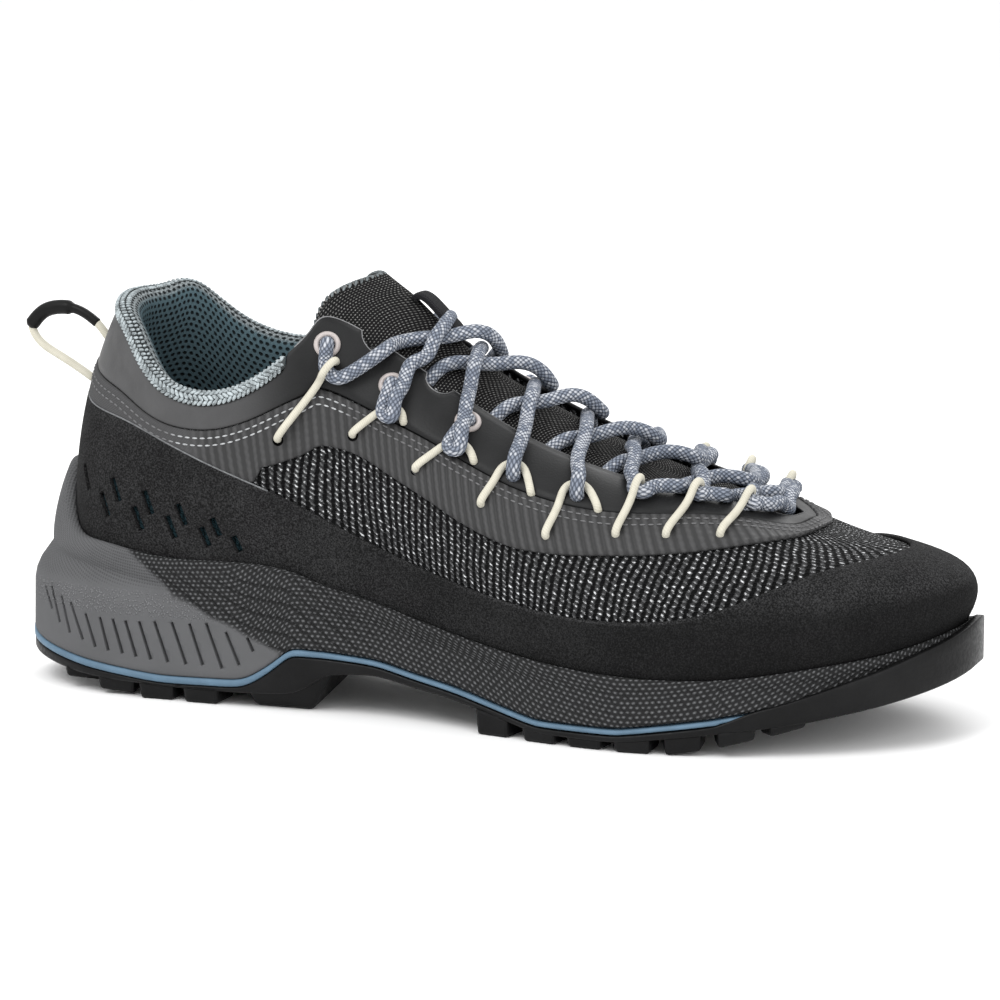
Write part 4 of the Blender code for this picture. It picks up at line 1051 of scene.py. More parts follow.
def panelShade():
    # paler round the collar, nearly black on the facing
    s = Shade("smoothFilm", Roughness=0.46, Specular_IOR_Level=0.16)
    p = s.place()
    x, _, _ = s.split(p)
    cloud = s.noise(p, 70, 4)
    grain = s.noise(p, 1500, 2)
    ahead = s.fade(x + cloud * 0.008, 0.036, 0.060)
    tone = s.blend(ahead, panelLook["collar"], panelLook["facing"])
    lighter = s.blend(ahead, tuple(c * 1.3 for c in panelLook["collar"]), tuple(c * 1.5 for c in panelLook["facing"]))
    color = s.blend(s.fade(cloud, 0.3, 0.7), tone, lighter)
    return s.finish(color, s.fade(cloud, 0.3, 0.7, 0.40, 0.54), s.relief(grain, 0.00015, 0.4))


def makePanel():
    # the top edge runs under the lining round the collar, then stands over the throat with two notches a side
    count = 960
    at = fineCols(count)
    around = np.minimum(at, cols - at)
    over = np.interp(around, (collarEnd - 0.02, collarEnd + 0.02, half - 2.5, half - 1.2), (-0.0016, 0.0022, 0.0022, 0.0006))
    line = lastSurface(at, 1.0)[0][:, 0] * 1000
    for spot, wide, deep in panelLook["notches"]:
        dip = np.clip(1 - ((line - spot) / wide) ** 2, 0, 1) ** 0.5
        over -= np.where(around > 12, dip * deep, 0)
    speed = np.linalg.norm(bezierSlope(cageAt(at), np.ones(len(at))), axis=1)
    low = onColumns(topV, at) + 0.00018 / speed
    top = np.maximum(1 + over / speed, low + 0.001 / speed)
    slope = np.linalg.norm(bezierSlope(cageAt(at), (low + top) / 2), axis=1)
    ease = 0.0003 / slope
    steps = 8
    outer = [lastSurface(at, low + ease + (top - low - 2 * ease) * k / steps, gap + panelThick)[0]
             for k in range(steps + 1)]
    rows = [lastSurface(at, low, gap + panelThick * 0.5)[0]] + outer
    rows += [lastSurface(at, top, gap + panelThick * 0.5)[0], lastSurface(at, top, gap)[0],
             lastSurface(at, (low + top) / 2, gap)[0], lastSurface(at, low, gap)[0]]
    ahead = around > collarEnd + 0.3
    for k, part in enumerate((at < half, at > half)):
        rim = lastSurface(at[ahead & part], top[ahead & part], gap + panelThick * 0.8)[0]
        facingEdges.append(cordPiece(f"facing_edge_{k}", rim, 0.00022, 6))
    points = np.array(rows)
    u = np.repeat(distances(points[4:5], 1), len(rows), axis=0)
    return gridPiece("facing_panel", points, np.stack((u, distances(points, 0)), -1), closedAlong=True)


facingEdges = []
dressed(makePanel(), panelShade(), "panel", "collar_panel")
dressed(joined("facing_edge", facingEdges),
        threadShade("cutEdge", (0.09, 0.09, 0.092), (0.22, 0.22, 0.225), 0.045, 0.09), "panel")

# two rows of stitches under the panel, all round
stitches = bmesh.new()
sewAt = fineCols(600)
for drop in (0.0021, 0.0041):
    level = onColumns(topV, sewAt)
    rate = np.linalg.norm(bezierSlope(cageAt(sewAt), level), axis=1)
    place, normals = lastSurface(sewAt, level - drop / rate, gap + filmThick + 0.00008)
    stitchRow(stitches, place, normals, 2.3, 1.65, 0.50)
dressed(meshPiece("seam_stitches", stitches),
        threadShade("seamThread", (0.13, 0.13, 0.133), (0.42, 0.43, 0.44), 0.022, 0.066), "film")
print("layers made")


# padded knit lining that rolls over the collar edge and runs down to the footbed
liningLook = {"deep": (0.050, 0.080, 0.093), "light": (0.39, 0.435, 0.45), "columns": 260}


def makeLining():
    at = np.linspace(cols - collarEnd, cols + collarEnd, liningLook["columns"] + 1)
    speed = np.linalg.norm(bezierSlope(cageAt(at), np.ones(len(at))), axis=1)
    lean = bezierSlope(cageAt(at), np.ones(len(at))) / speed[:, None]
    ends = np.clip(np.minimum(at - at[0], at[-1] - at) / 2.2, 0, 1)
    fade = 0.3 + 0.7 * ends * ends * (3 - 2 * ends)
    rows = []
    for down, past, off in ((0.0014, 0, gap), (0.0014, 0, 0.0009), (0.0011, 0, 0.0014), (0.0005, 0, 0.0017),
                            (0, 0.0003, 0.0018), (0, 0.0009, 0.0015), (0, 0.0015, 0.0008), (0, 0.0019, -0.0003),
                            (0, 0.0021, -0.0018), (0, 0.0018, -0.0033), (0, 0.0010, -0.0047), (0, 0.0, -0.0058)):
        rows.append(lastSurface(at, 1 - down / speed, off)[0] + lean * past)
    heart = lastSurface(at, 1.0, -0.0014)[0] - lean * 0.0004
    for down, past, off, slant in ((0.0010, 0, 0.0016, 0.7), (0, 0.0004, 0.0019, -0.7), (0, 0.0017, 0.0008, 0.7),
                                   (0, 0.0022, -0.0009, -0.7)):
        line = lastSurface(at, 1 - down / speed, off)[0] + lean * past
        stitchRow(collarYarn, line, line - heart, 1.5, 2.3, 1.05, slant)
    foot = 0.06
    for k in range(1, 27):
        s = k / 26
        v = 1 - (1 - foot) * s
        thick = np.interp(s, (0, 0.12, 0.25, 0.4, 0.6, 0.8, 1), (0.0044, 0.0058, 0.0056, 0.0042, 0.0018, 0.0009, 0.0007))
        rows.append(lastSurface(at, v, -wall - gap - thick * fade)[0])
    rows += [lastSurface(at, v, -wall - gap * 0.7)[0] for v in (0.06, 0.3, 0.6, 0.8, 0.95, 1.0)]
    rows.append(lastSurface(at, 1.0, -wall * 0.5)[0] + lean * 0.0005)
    rows.append(lastSurface(at, 1.0, gap)[0] + lean * 0.0003)
    points = np.array(rows)
    u = np.repeat(distances(points[2:3], 1), len(rows), axis=0)
    obj = gridPiece("collar_knit", points, np.stack((u, distances(points, 0)), -1), closedAlong=True)
    bm = bmesh.new()
    bm.from_mesh(obj.data)
    caps = bmesh.ops.holes_fill(bm, edges=[e for e in bm.edges if e.is_boundary])["faces"]
    bmesh.ops.triangulate(bm, faces=caps)
    bmesh.ops.recalc_face_normals(bm, faces=bm.faces)
    bm.to_mesh(obj.data)
    bm.free()
    return obj


def knitShade():
    # dark ground under the binding's yarn, a grey strip beside it, then a dotted knit inside
    s = Shade("collarKnit", Roughness=0.92, Specular_IOR_Level=0.12)
    u, v, _ = s.split(s.cloth())
    border, inside = s.fade(v, 6.4, 7.2), s.fade(v, 8.2, 11.0)
    line = s.floor(v / 1.75 + 0.5)
    dot = s.cells(s.join(u / 2.3 + line * 0.5, v / 1.75), 1.0, jitter=0.10)
    mesh = s.fade(dot, 0.17, 0.36)
    fleck = s.noise(s.join(u * 1.6, v * 1.6), 1.0, 3)
    grey = s.blend(s.fade(fleck, 0.4, 0.62), tuple(c * 0.22 for c in liningLook["light"]),
                   tuple(c * 0.62 for c in liningLook["light"]))
    deep = s.blend(s.fade(fleck, 0.35, 0.7), liningLook["deep"], tuple(c * 1.35 for c in liningLook["deep"]))
    inner = s.blend(mesh, tuple(c * 0.10 for c in liningLook["deep"]), s.blend(inside, grey, deep))
    color = s.blend(border, tuple(c * 0.12 for c in liningLook["light"]), inner)
    return s.finish(color, None, s.relief(mesh * border, 0.0009, 1.0))


def yarnShade(name, share):
    # the thick pale yarn of the bindings
    s = Shade(name, Roughness=0.95, Specular_IOR_Level=0.1)
    pale = tuple(c * share for c in liningLook["light"])
    p = s.place()
    fleck, fine = s.noise(p, 420, 3), s.noise(p, 2600, 3)
    color = s.blend(s.fade(fleck, 0.36, 0.66), tuple(c * 0.42 for c in pale), pale)
    color = s.blend(s.fade(fine, 0.52, 0.70), color, tuple(c * 1.35 for c in pale))
    return s.finish(color, None, s.relief(fine, 0.0003, 0.6))


collarYarn = bmesh.new()
lining = makeLining()
dressed(lining, knitShade(), "lining", "collar_lining")
yarn = yarnShade("bindingYarn", 1.0)
dressed(meshPiece("collar_binding", collarYarn), yarn, "lining")
print("lining made")

# tongue
tongueLook = {"color": (0.0075, 0.0075, 0.0078), "thread": (0.150, 0.148, 0.143), "fleck": (0.30, 0.30, 0.29)}
tongueRows, tonguePosition = [], []
for name in crownTable:
    position = order.index(name)
    points = []
    for side in (-1, 1):
        column = columnOf(position, side)
        speed = np.linalg.norm(bezierSlope(cageAt(column), [1.0]))
        points.append((lastSurface(column, 1 - 0.009 / speed, -wall - 0.0009)[0][0],
                       lastSurface(column, 1.0, -wall - 0.0012)[0][0]))
    crown = np.array(crownTable[name]) * 0.001
    (tuckL, edgeL), (tuckM, edgeM) = points
    nearL = edgeL * 0.5 + crown * 0.5 + (0, 0, 0.0018)
    nearM = edgeM * 0.5 + crown * 0.5 + (0, 0, 0.0018)
    tongueRows.append((tuckL, edgeL, nearL, crown, nearM, edgeM, tuckM))
    tonguePosition.append(position)
tongueRows.append(tuple(np.array(p) * 0.001 for p in (
    (53.5, -18.5, 99), (54.8, -16.6, 106.5), (60.0, -11.5, 115.0), (68.5, 1, 119.4),
    (61.5, 12.5, 117), (57.5, 17.5, 109), (56.5, 19.5, 101))))
tonguePosition.append(5.0)
tongueRows = np.array(tongueRows)[::-1]
tonguePosition = np.array(tonguePosition)[::-1]


def tongueGrid(positions, across):
    rows = spline(tonguePosition, tongueRows.reshape(len(tongueRows), 21), positions).reshape(-1, 7, 3)
    return np.array([spline(np.arange(7), row, across) for row in rows])


def tongueAt(position, side, off=0.0):
    p = np.clip([position - 0.1, position, position + 0.1], 5.0, 13.0)
    grid = tongueGrid(p, np.clip([side - 0.1, side, side + 0.1], 0.0, 6.0))
    normal = np.cross(grid[2, 1] - grid[0, 1], grid[1, 2] - grid[1, 0])
    return grid[1, 1] + normal / np.linalg.norm(normal) * off


def makeTongue():
    across = np.linspace(0, 6, 61)
    positions = np.concatenate((np.linspace(5.0, 7.0, 50, endpoint=False), np.linspace(7.0, 12.7, 90)))
    face = tongueGrid(positions, across)
    along = np.gradient(face, axis=0)
    over = np.gradient(face, axis=1)
    normal = np.cross(along, over)
    normal /= np.linalg.norm(normal, axis=2)[:, :, None]
    thick = np.where(positions < 7, 0.0032, 0.0032 - 0.0008 * np.clip((positions - 7) / 1.0, 0, 1))[:, None, None]
    edge = np.minimum(np.arange(61), 60 - np.arange(61)) / 3.0
    plump = np.sqrt(1 - np.clip(1 - edge, 0, 1) ** 2)[None, :, None]
    head = np.sqrt(1 - np.clip(1 - np.arange(len(positions)) / 5.0, 0, 1) ** 2)[:, None, None]
    middle = face - normal * thick * 0.5
    above, below = middle + normal * thick * 0.5 * plump * head, middle - normal * thick * 0.5 * plump * head
    ring = np.concatenate((above, below[:, ::-1][:, 1:]), axis=1)
    u = np.concatenate((distances(face, 1), distances(face, 1)[:, ::-1][:, 1:]), axis=1)
    v = distances(ring, 0)
    return gridPiece("tongue_pad", ring, np.stack((u, v), -1))


def tongueShade():
    # close knit, its stitches leaning across each other, some of them pale
    s = Shade("tongueCloth", Roughness=0.9, Specular_IOR_Level=0.1)
    u, v, _ = s.split(s.cloth())
    row = s.floor(v / 0.9)
    a, b = s.fract(u / 1.15 + row * 0.5) - 0.5, s.fract(v / 0.9) - 0.5
    tilt = s.fract(row * 0.5) * 2.4 - 0.6
    long, short = a + b * tilt, b - a * tilt * 0.6
    knot = s.fade(long * long * 2.0 + short * short * 5.0, 0.42, 0.04)
    spark = s.fade(s.noise(s.join(u * 1.3, v * 1.3), 1.0, 3, 0.7), 0.48, 0.62)
    color = s.blend(knot, tongueLook["color"], tongueLook["thread"])
    color = s.blend(knot * spark, color, tongueLook["fleck"])
    return s.finish(color, None, s.relief(knot, 0.0006, 1.0))


def tongueRim():
    # a thin roll round the tongue's end, wrapped in the same yarn as the collar
    spots = ([(p, 0.25) for p in np.linspace(6.3, 5.1, 8)] + [(5.04, s) for s in np.linspace(0.3, 5.7, 28)]
             + [(p, 5.75) for p in np.linspace(5.1, 6.3, 8)])
    knots = np.array([tongueAt(p, s, -0.0013) for p, s in spots])
    facing = np.array([tongueAt(p, s) for p, s in spots]) - knots
    path = smoothPath(knots, 0.0008)
    share = np.linspace(0, 1, len(path))
    normal = np.stack([np.interp(share, np.linspace(0, 1, len(spots)), facing[:, i]) for i in range(3)], -1)
    normal /= np.linalg.norm(normal, axis=1)[:, None]
    beside = np.cross(np.gradient(path, axis=0), normal)
    beside /= np.linalg.norm(beside, axis=1)[:, None]
    if (beside[len(path) // 2] @ (path[len(path) // 2] - tongueAt(6.0, 3))) < 0:
        beside = -beside
    yarnMesh = bmesh.new()
    for a, b, slant in ((0.95, 0.3, 0.75), (0.45, 0.9, -0.75), (-0.2, 0.98, 0.75)):
        out = normal * a + beside * b
        stitchRow(yarnMesh, path + out * 0.0010, out, 1.9, 2.1, 0.8, slant)
    core = cordPiece("tongue_rim", path, 0.0010, 10)
    return core, meshPiece("tongue_binding", yarnMesh)


tongue = makeTongue()
dressed(tongue, tongueShade(), "tongue", "tongue")
rimCore, rimYarn = tongueRim()
dressed(rimCore, tongue.data.materials[0], "lining")
dressed(rimYarn, yarnShade("tongueYarn", 0.45), "lining")
print("tongue made")

# webbing keeper on the tongue
keeperLook = {"half": 0.0036, "thick": 0.0010, "color": (0.0045, 0.0045, 0.005)}


def makeKeeper():
    path = smoothPath([tongueAt(p, 3, h) for p, h in
                       ((7.55, 0.0004), (7.5, 0.0020), (7.32, 0.0028), (7.05, 0.0029), (6.8, 0.0026), (6.65, 0.0017),
                        (6.62, 0.0004))], 0.0004)
    tangent = np.gradient(path, axis=0)
    across = np.array((0, 1.0, 0))
    flat = np.cross(tangent, across)
    flat /= np.linalg.norm(flat, axis=1)[:, None]
    turns = np.linspace(0, 2 * math.pi, 25)
    wide = np.sign(np.cos(turns)) * np.abs(np.cos(turns)) ** 0.35 * keeperLook["half"]
    deep = np.sign(np.sin(turns)) * np.abs(np.sin(turns)) ** 0.6 * keeperLook["thick"]
    rings = path[:, None] + wide[None, :, None] * across + deep[None, :, None] * flat[:, None]
    rings = np.concatenate((rings[:1] * 0 + path[0], rings, rings[:1] * 0 + path[-1]))
    u = np.broadcast_to(wide * 1000, rings.shape[:2])
    return gridPiece("tongue_webbing", rings, np.stack((u, distances(rings, 0)), -1))


def webbingShade():
    s = Shade("webbing", Roughness=0.85, Specular_IOR_Level=0.1)
    u, v, _ = s.split(s.cloth())
    weave = (s.wave(u * 6.0 + v * 5.0) * s.wave(u * 6.0 - v * 5.0)) * 0.5 + 0.5
    color = s.blend(weave, keeperLook["color"], tuple(c * 6 for c in keeperLook["color"]))
    return s.finish(color, None, s.relief(weave, 0.0003, 0.8))


dressed(makeKeeper(), webbingShade(), "webbing", "tongue_keeper")

# lace stations: x and z where each loop leaves the film, then of its top; and the eyelets
stations = ((50, 76, 63.5, 94.5), (72, 78, 82.5, 84.0), (92, 70, 102, 75.5), (112, 62, 118.5, 70.5),
            (132, 55, 137, 66.0), (150.5, 56, 152, 64.5), (163.5, 56, 166.5, 63.0), (177, 56, 179, 61.0))
eyelets = ((61.5, 101.5), (80.5, 90.8), (102.5, 81.5))


def standing(point, normal, along=Vector((1, 0, 0))):
    z = Vector(normal).normalized()
    x = (along - z * along.dot(z)).normalized()
    return Matrix.Translation(point) @ Matrix((x, z.cross(x), z)).transposed().to_4x4()


ringLook = {"outer": 0.00375, "inner": 0.0021, "color": (0.44, 0.395, 0.38)}


def makeRing(name, x, height, side):
    # rolled plastic eyelet: a profile turned round the hole
    point, normal = onSkin(x, height, side, gap + panelThick)[:2]
    o, i = ringLook["outer"], ringLook["inner"]
    profile = [(i, -0.0030), (i, 0.0002), (i + 0.0002, 0.0008), (i + 0.0007, 0.0012), (o - 0.0006, 0.0010),
               (o - 0.0001, 0.0006), (o, 0.0001), (o - 0.0002, 0.0), (i + 0.0005, -0.0001), (i + 0.0005, -0.0030)]
    bm = bmesh.new()
    corners = [bm.verts.new((r, 0, z)) for r, z in profile]
    edges = [bm.edges.new((a, b)) for a, b in zip(corners, corners[1:] + corners[:1])]
    bmesh.ops.spin(bm, geom=corners + edges, axis=(0, 0, 1), cent=(0, 0, 0), steps=40, angle=2 * math.pi,
                   use_merge=True)
    bmesh.ops.remove_doubles(bm, verts=bm.verts, dist=0.00001)
    bmesh.ops.recalc_face_normals(bm, faces=bm.faces)
    bm.transform(standing(point, normal))
    for face in bm.faces:
        face.smooth = True
    mesh = bpy.data.meshes.new(name)
    bm.to_mesh(mesh)
    bm.free()
    obj = bpy.data.objects.new(name, mesh)
    bpy.context.scene.collection.objects.link(obj)
    return obj


def ringShade():
    s = Shade("eyeletPlastic", Roughness=0.42)
    cloud = s.noise(s.place(), 500, 3)
    color = s.blend(s.fade(cloud, 0.3, 0.7), ringLook["color"], tuple(c * 0.85 for c in ringLook["color"]))
    return s.finish(color, s.fade(cloud, 0.3, 0.7, 0.36, 0.5), s.relief(cloud, 0.0001, 0.3))


def creamShade():
    s = Shade("creamCord", Roughness=0.7, Specular_IOR_Level=0.3)
    u, v, _ = s.split(s.cloth())
    twist = s.wave((u / 0.55 + v * 3.0) * (2 * math.pi)) * 0.5 + 0.5
    cloud = s.noise(s.place(), 300, 3)
    color = s.blend(twist * 0.25 + cloud * 0.6, (0.42, 0.40, 0.32), (0.64, 0.615, 0.53))
    return s.finish(color, None, s.relief(twist, 0.00008, 0.5))


eyeletShade, cream = ringShade(), creamShade()
turns = {}
for side, tag in ((-1, "lateral"), (1, "medial")):
    for k, (x, height) in enumerate(eyelets):
        dressed(makeRing(f"ring_{tag}_{k + 1}", x, height, side), eyeletShade, "eyelet", f"eyelet_{tag}_{k + 1}")


dressTree = treeOf("tongue_pad", "facing_panel", "ribbed_film", "upper_cloth")


def laid(x, y, lift):
    # a point over the dressed surface, x and y in millimetres
    hit, normal = dressTree.ray_cast(Vector((x * 0.001, y * 0.001, 0.2)), Vector((0, 0, -1)), 0.15)[:2]
    if hit is None or hit.z < 0.05:
        edge = throatPoint(x, -1, gap + panelThick)
        hit, normal = Vector((x * 0.001, y * 0.001, edge.z)), Vector((0.3, 0, 1)).normalized()
    if normal.z < 0:
        normal = -normal
    return hit + normal * (laceRadius + 0.0001 + lift * 0.001)


def throatPoint(x, side, off, down=0.0):
    # a point by the throat edge at an x in millimetres
    line = lastSurface(np.arange(half + 1) if side < 0 else cols - np.arange(half + 1), 1.0)[0][:, 0]
    keep = np.arange(12, half + 1)
    at = np.interp(x * 0.001, line[keep], keep.astype(float))
    at = at if side < 0 else cols - at
    speed = np.linalg.norm(bezierSlope(cageAt([at]), [1.0]))
    return Vector(lastSurface(at, 1 - down * 0.001 / speed, off)[0][0])


# second feet of the loops whose cord passes under the lace: x and z beside the top
secondFeet = {1: (3.6, -2.2), 2: (5.2, -3.2), 3: (6.6, -5.6), 4: (7.0, -4.6)}
for side, tag in ((-1, "lateral"), (1, "medial")):
    for k, (xFoot, zFoot, xTop, zTop) in enumerate(stations):
        foot, footNormal = onSkin(xFoot, zFoot, side, gap + filmThick + cordRadius * 0.5)[:2]
        zTurn = zTop - (1.5 if side > 0 else 0.0)
        face, normal = onSkin(xTop, zTurn, side, gap + panelThick)[:2]
        upward = (throatPoint(xTop - 1.5, side, gap + panelThick) - face).normalized()
        upward = (upward - normal * upward.dot(normal)).normalized()
        toeward = (Vector((1, 0, 0)) - normal * normal.x)
        toeward = (toeward - upward * toeward.dot(upward)).normalized()
        turns[tag, k] = (face, normal, upward, toeward)
        if k in secondFeet:
            dx, dz = secondFeet[k]
            other, otherNormal = onSkin(xTop + dx, zTurn + dz, side, gap + panelThick + cordRadius * 0.5)[:2]
            crook = face + upward * 0.0006 + normal * (cordRadius + 0.0001)
            path = [foot - footNormal * 0.0022, foot,
                    foot * 0.45 + crook * 0.55 - toeward * 0.0016 + normal * 0.0003,
                    crook - toeward * 0.0022 - upward * 0.0003, crook + toeward * 0.0004 + upward * 0.0003,
                    crook * 0.5 + other * 0.5 + toeward * 0.0012 + normal * 0.0003 + upward * 0.0003,
                    other, other - otherNormal * 0.0022]
        else:
            arch = laceRadius + cordRadius
            centre = face + normal * (laceRadius + 0.0004)
            slope = (foot - centre).normalized()
            slope = (slope - normal * slope.dot(normal)).normalized()
            swing = [centre + (normal * math.sin(t) + slope * math.cos(t)) * arch
                     for t in (math.radians(a) for a in (25, 50, 75, 100, 125, 150, 175, 200))]
            path = [foot - footNormal * 0.0022, foot, foot * 0.5 + swing[0] * 0.5 - normal * 0.0003] + swing
        cord = cordPiece(f"loop_cord_{tag}_{k + 1}", smoothPath(path, 0.0005), cordRadius)
        dressed(cord, cream, "loop_cord", f"lace_loop_{tag}_{k + 1}")


def makePaintedHoleShade():
    # dark discs in the mouths of the eyelets and of the holes that the loops go into, painted shade of their insides
    bm = bmesh.new()
    for side in (-1, 1):
        for x, height in eyelets:
            point, normal = onSkin(x, height, side, gap + panelThick + 0.00015)[:2]
            bmesh.ops.create_circle(bm, cap_ends=True, segments=24, radius=ringLook["inner"] + 0.0003,
                                    matrix=framed(point, normal, (1, 0, 0)))
        for k, (x, height, _, zTop) in enumerate(stations):
            spots = [(x, height, gap + filmThick)]
            if k in secondFeet:
                dx, dz = secondFeet[k]
                spots.append((stations[k][2] + dx, zTop - (1.5 if side > 0 else 0.0) + dz, gap + panelThick))
            for px, pz, off in spots:
                point, normal = onSkin(px, pz, side, off + 0.00012)[:2]
                bmesh.ops.create_circle(bm, cap_ends=True, segments=16, radius=cordRadius * 1.45,
                                        matrix=framed(point - Vector((0, 0, 0.0004)), normal, (1, 0, 0)))
    return meshPiece("cord_holes", bm)


def paintedHoleShadeMaterial():
    # near-black painted shade for the hole mouths
    s = Shade("paintedHoleShade", Roughness=1.0, Specular_IOR_Level=0.0)
    shade = s.fade(s.noise(s.place(), 700, 2), 0.3, 0.7)
    return s.finish(s.blend(shade, (0.001, 0.001, 0.001), (0.004, 0.004, 0.004)), None, s.relief(shade, 0.0001, 0.2))


dressed(makePaintedHoleShade(), paintedHoleShadeMaterial(), "film")
print("loops and rings made")

# lace, crossed over the tongue: where each strand runs, x by y in millimetres, with its lift
laceLook = {"color": (0.200, 0.225, 0.275), "light": (0.46, 0.48, 0.52), "dark": (0.062, 0.074, 0.100)}
bars = {1: (83.8, ((85.2, -11, 3.2), (85.6, -6.5, 3.9), (86.2, -2, 2.8), (85.4, 5, 0.6), (82.6, 12, 0.2)), 75.0),
        2: (100.2, ((98.8, -13, 2.6), (97.4, -8, 3.8), (96.1, -2, 2.4), (94.9, 5, 0.2), (92.4, 12, 0.1)), 89.0),
        3: (117.0, ((115.6, -13, 2.6), (114.2, -8, 3.6), (112.8, -2, 2.4), (111.2, 5, 0.1), (109.0, 12, 0.1)), 107.5),
        4: (133.4, ((131.6, -12.5, 3.0), (130.2, -7, 3.4), (128.4, -1, 1.8), (127.0, 5, 0.1), (124.9, 12, 0)), 124.0),
        5: (148.6, ((146.4, -13, 3.0), (144.4, -7, 3.2), (141.6, -1, 1.6), (140.6, 5, 0.1), (139.2, 12, 0)), 139.5),
        6: (166.2, ((166.0, -12, 2.8), (164.0, -7, 3.2), (161.6, -1, 1.8), (159.8, 5, 0.4), (158.0, 11, 0.2)), 157.0),
        7: (179.0, ((178.4, -10, 2.2), (177.8, -6, 2.8), (176.8, 0, 1.6), (175.6, 6, 0.6), (174.4, 10, 0.4)), 172.5)}
arcs = {0: (None, ((77.2, -11, 0.6), (82.6, -6.5, 0.4), (88.2, -1.8, 0.8), (92.2, 2.4, 4.2), (96.0, 6.5, 4.4),
                   (97.6, 11, 2.6)), 94.0),
        1: (88.2, ((90.2, -8.5, 0), (94.8, -3.5, 0), (100.2, 1.2, 1.2), (105.2, 5.4, 4.3), (110.2, 8.8, 4.2),
                   (112.6, 12, 2.4)), 108.0),
        2: (106.8, ((108.8, -9.5, 0), (112.2, -4.5, 0), (116.6, -0.6, 1.4), (120.8, 4.2, 4.2), (125.2, 8.6, 4.0),
                    (127.6, 12, 2.4)), 123.0),
        3: (122.8, ((126.6, -10, 0), (130.4, -5, 0), (134.6, 0.4, 2.8), (138.4, 6.4, 4.3), (142.6, 9.6, 4.0),
                    (144.6, 12.6, 2.4)), 141.0),
        4: (139.4, ((142.3, -10, 0), (144.6, -4.5, 0), (148.0, 0.4, 2.4), (152.0, 3.8, 4.0), (156.0, 7.4, 3.6),
                    (157.6, 12, 2.0)), 154.0),
        5: (None, ((160.9, -9.5, 0), (162.9, -4, 0.4), (166.4, 0.6, 2.8), (170.2, 3.4, 3.8), (172.6, 7.2, 3.2),
                   (173.4, 11.6, 1.6)), 170.5),
        6: (None, ((172.4, -9, 0), (174.4, -3.5, 0.2), (176.8, 2.6, 2.0), (179.6, 6.8, 2.8), (181.0, 10.6, 1.4)), 180.5)}
toeBar = ((184.4, -10, 0.2), (185.8, -4, 0.6), (185.8, 3, 1.2), (184.2, 9, 1.4))


def overEnd(tag, k, throatX):
    # the strand that comes down over the facing, from the throat edge to the loop
    side = -1 if tag == "lateral" else 1
    face, normal, upward, toeward = turns[tag, k]
    lip = throatPoint(throatX, side, gap + panelThick + laceRadius + 0.0002)
    if k in secondFeet:
        lean = 0.0012 if k < len(eyelets) else 0.0
        base = face + toeward * lean + normal * 0.0038
        return [lip, lip * 0.5 + base * 0.5 + normal * 0.0001, base + upward * 0.0012]
    base = face + normal * (laceRadius + 0.0004)
    reach = (lip - base).normalized()
    return [lip, base + reach * 0.0032]


def underEnd(tag, k, throatX):
    # the strand that leaves the loop, to the throat edge, under the facing where there is a hole
    side = -1 if tag == "lateral" else 1
    face, normal, upward, toeward = turns[tag, k]
    if k in secondFeet:
        deep = -wall - laceRadius * 0.9
        out = [throatPoint(throatX - 1.5, side, deep - 0.0008, 4.0), throatPoint(throatX, side, deep)]
        if k < len(eyelets):
            x, height = eyelets[k]
            hole, holeNormal = onSkin(x, height, side, gap + panelThick)[:2]
            start = [face - upward * 0.0022 + toeward * 0.0006 + normal * 0.0030,
                     face - upward * 0.0018 - toeward * 0.0014 + normal * 0.0024,
                     face * 0.55 + hole * 0.45 - toeward * 0.0012 + normal * 0.0023,
                     hole + holeNormal * 0.0012, hole - holeNormal * 0.0016, hole - holeNormal * 0.0052]
        else:
            start = [face - upward * 0.0014 + normal * 0.0034, face - upward * 0.0026 + normal * 0.0014,
                     face - upward * 0.0020 - normal * 0.0010, face - normal * 0.0040]
        return start + out
    base = face + normal * (laceRadius + 0.0003)
    if k == 0:
        x, height = eyelets[0]
        hole, holeNormal = onSkin(x, height, side, gap + panelThick)[:2]
        return [hole - holeNormal * 0.0060, hole - holeNormal * 0.0020, hole + holeNormal * 0.0012,
                hole * 0.5 + base * 0.5 - toeward * 0.0006, base - upward * 0.0006 - toeward * 0.0002,
                base - upward * 0.0022 + toeward * 0.0022, base + toeward * 0.0060 - upward * 0.0010,
                throatPoint(76.5, side, gap + panelThick + laceRadius + 0.0003)]
    if throatX is None:
        throatX = {5: 161.5, 6: 173.4}.get(k, 180.4)
    lip = throatPoint(throatX, side, gap + panelThick + laceRadius + 0.0003)
    reach = (lip - base).normalized()
    return [base - upward * 0.0010, base - upward * 0.0012 + toeward * 0.0016, base + reach * 0.0042, lip]


def strandPath(points):
    return [laid(x, y, lift) for x, y, lift in points]


def makeLace():
    # from one top eyelet down to the toe and back up to the other
    halves = []
    for start, other in (("lateral", "medial"), ("medial", "lateral")):
        path, tags = underEnd(start, 0, None), (start, other)
        for k in range(7):
            here, there = tags[k % 2], tags[(k + 1) % 2]
            if here == "lateral":
                middle = strandPath(arcs[k][1])
                path += middle + overEnd(there, k + 1, arcs[k][2])
                nextX = bars[k + 2][2] if k + 2 in bars else None
            else:
                middle = strandPath(bars[k + 1][1])[::-1]
                path += middle + overEnd(there, k + 1, bars[k + 1][0])
                nextX = arcs[k + 1][0] if k + 1 in arcs else None
            if k < 6:
                path += underEnd(there, k + 1, nextX)
        halves.append(path)
    for tag, path in zip(("medial", "lateral"), halves):
        path += underEnd(tag, 7, 182.4)
    points = halves[0] + strandPath(toeBar)[::-1] + halves[1][::-1]
    return cordPiece("lace_braid", smoothPath(points, 0.0007), laceRadius, 16)


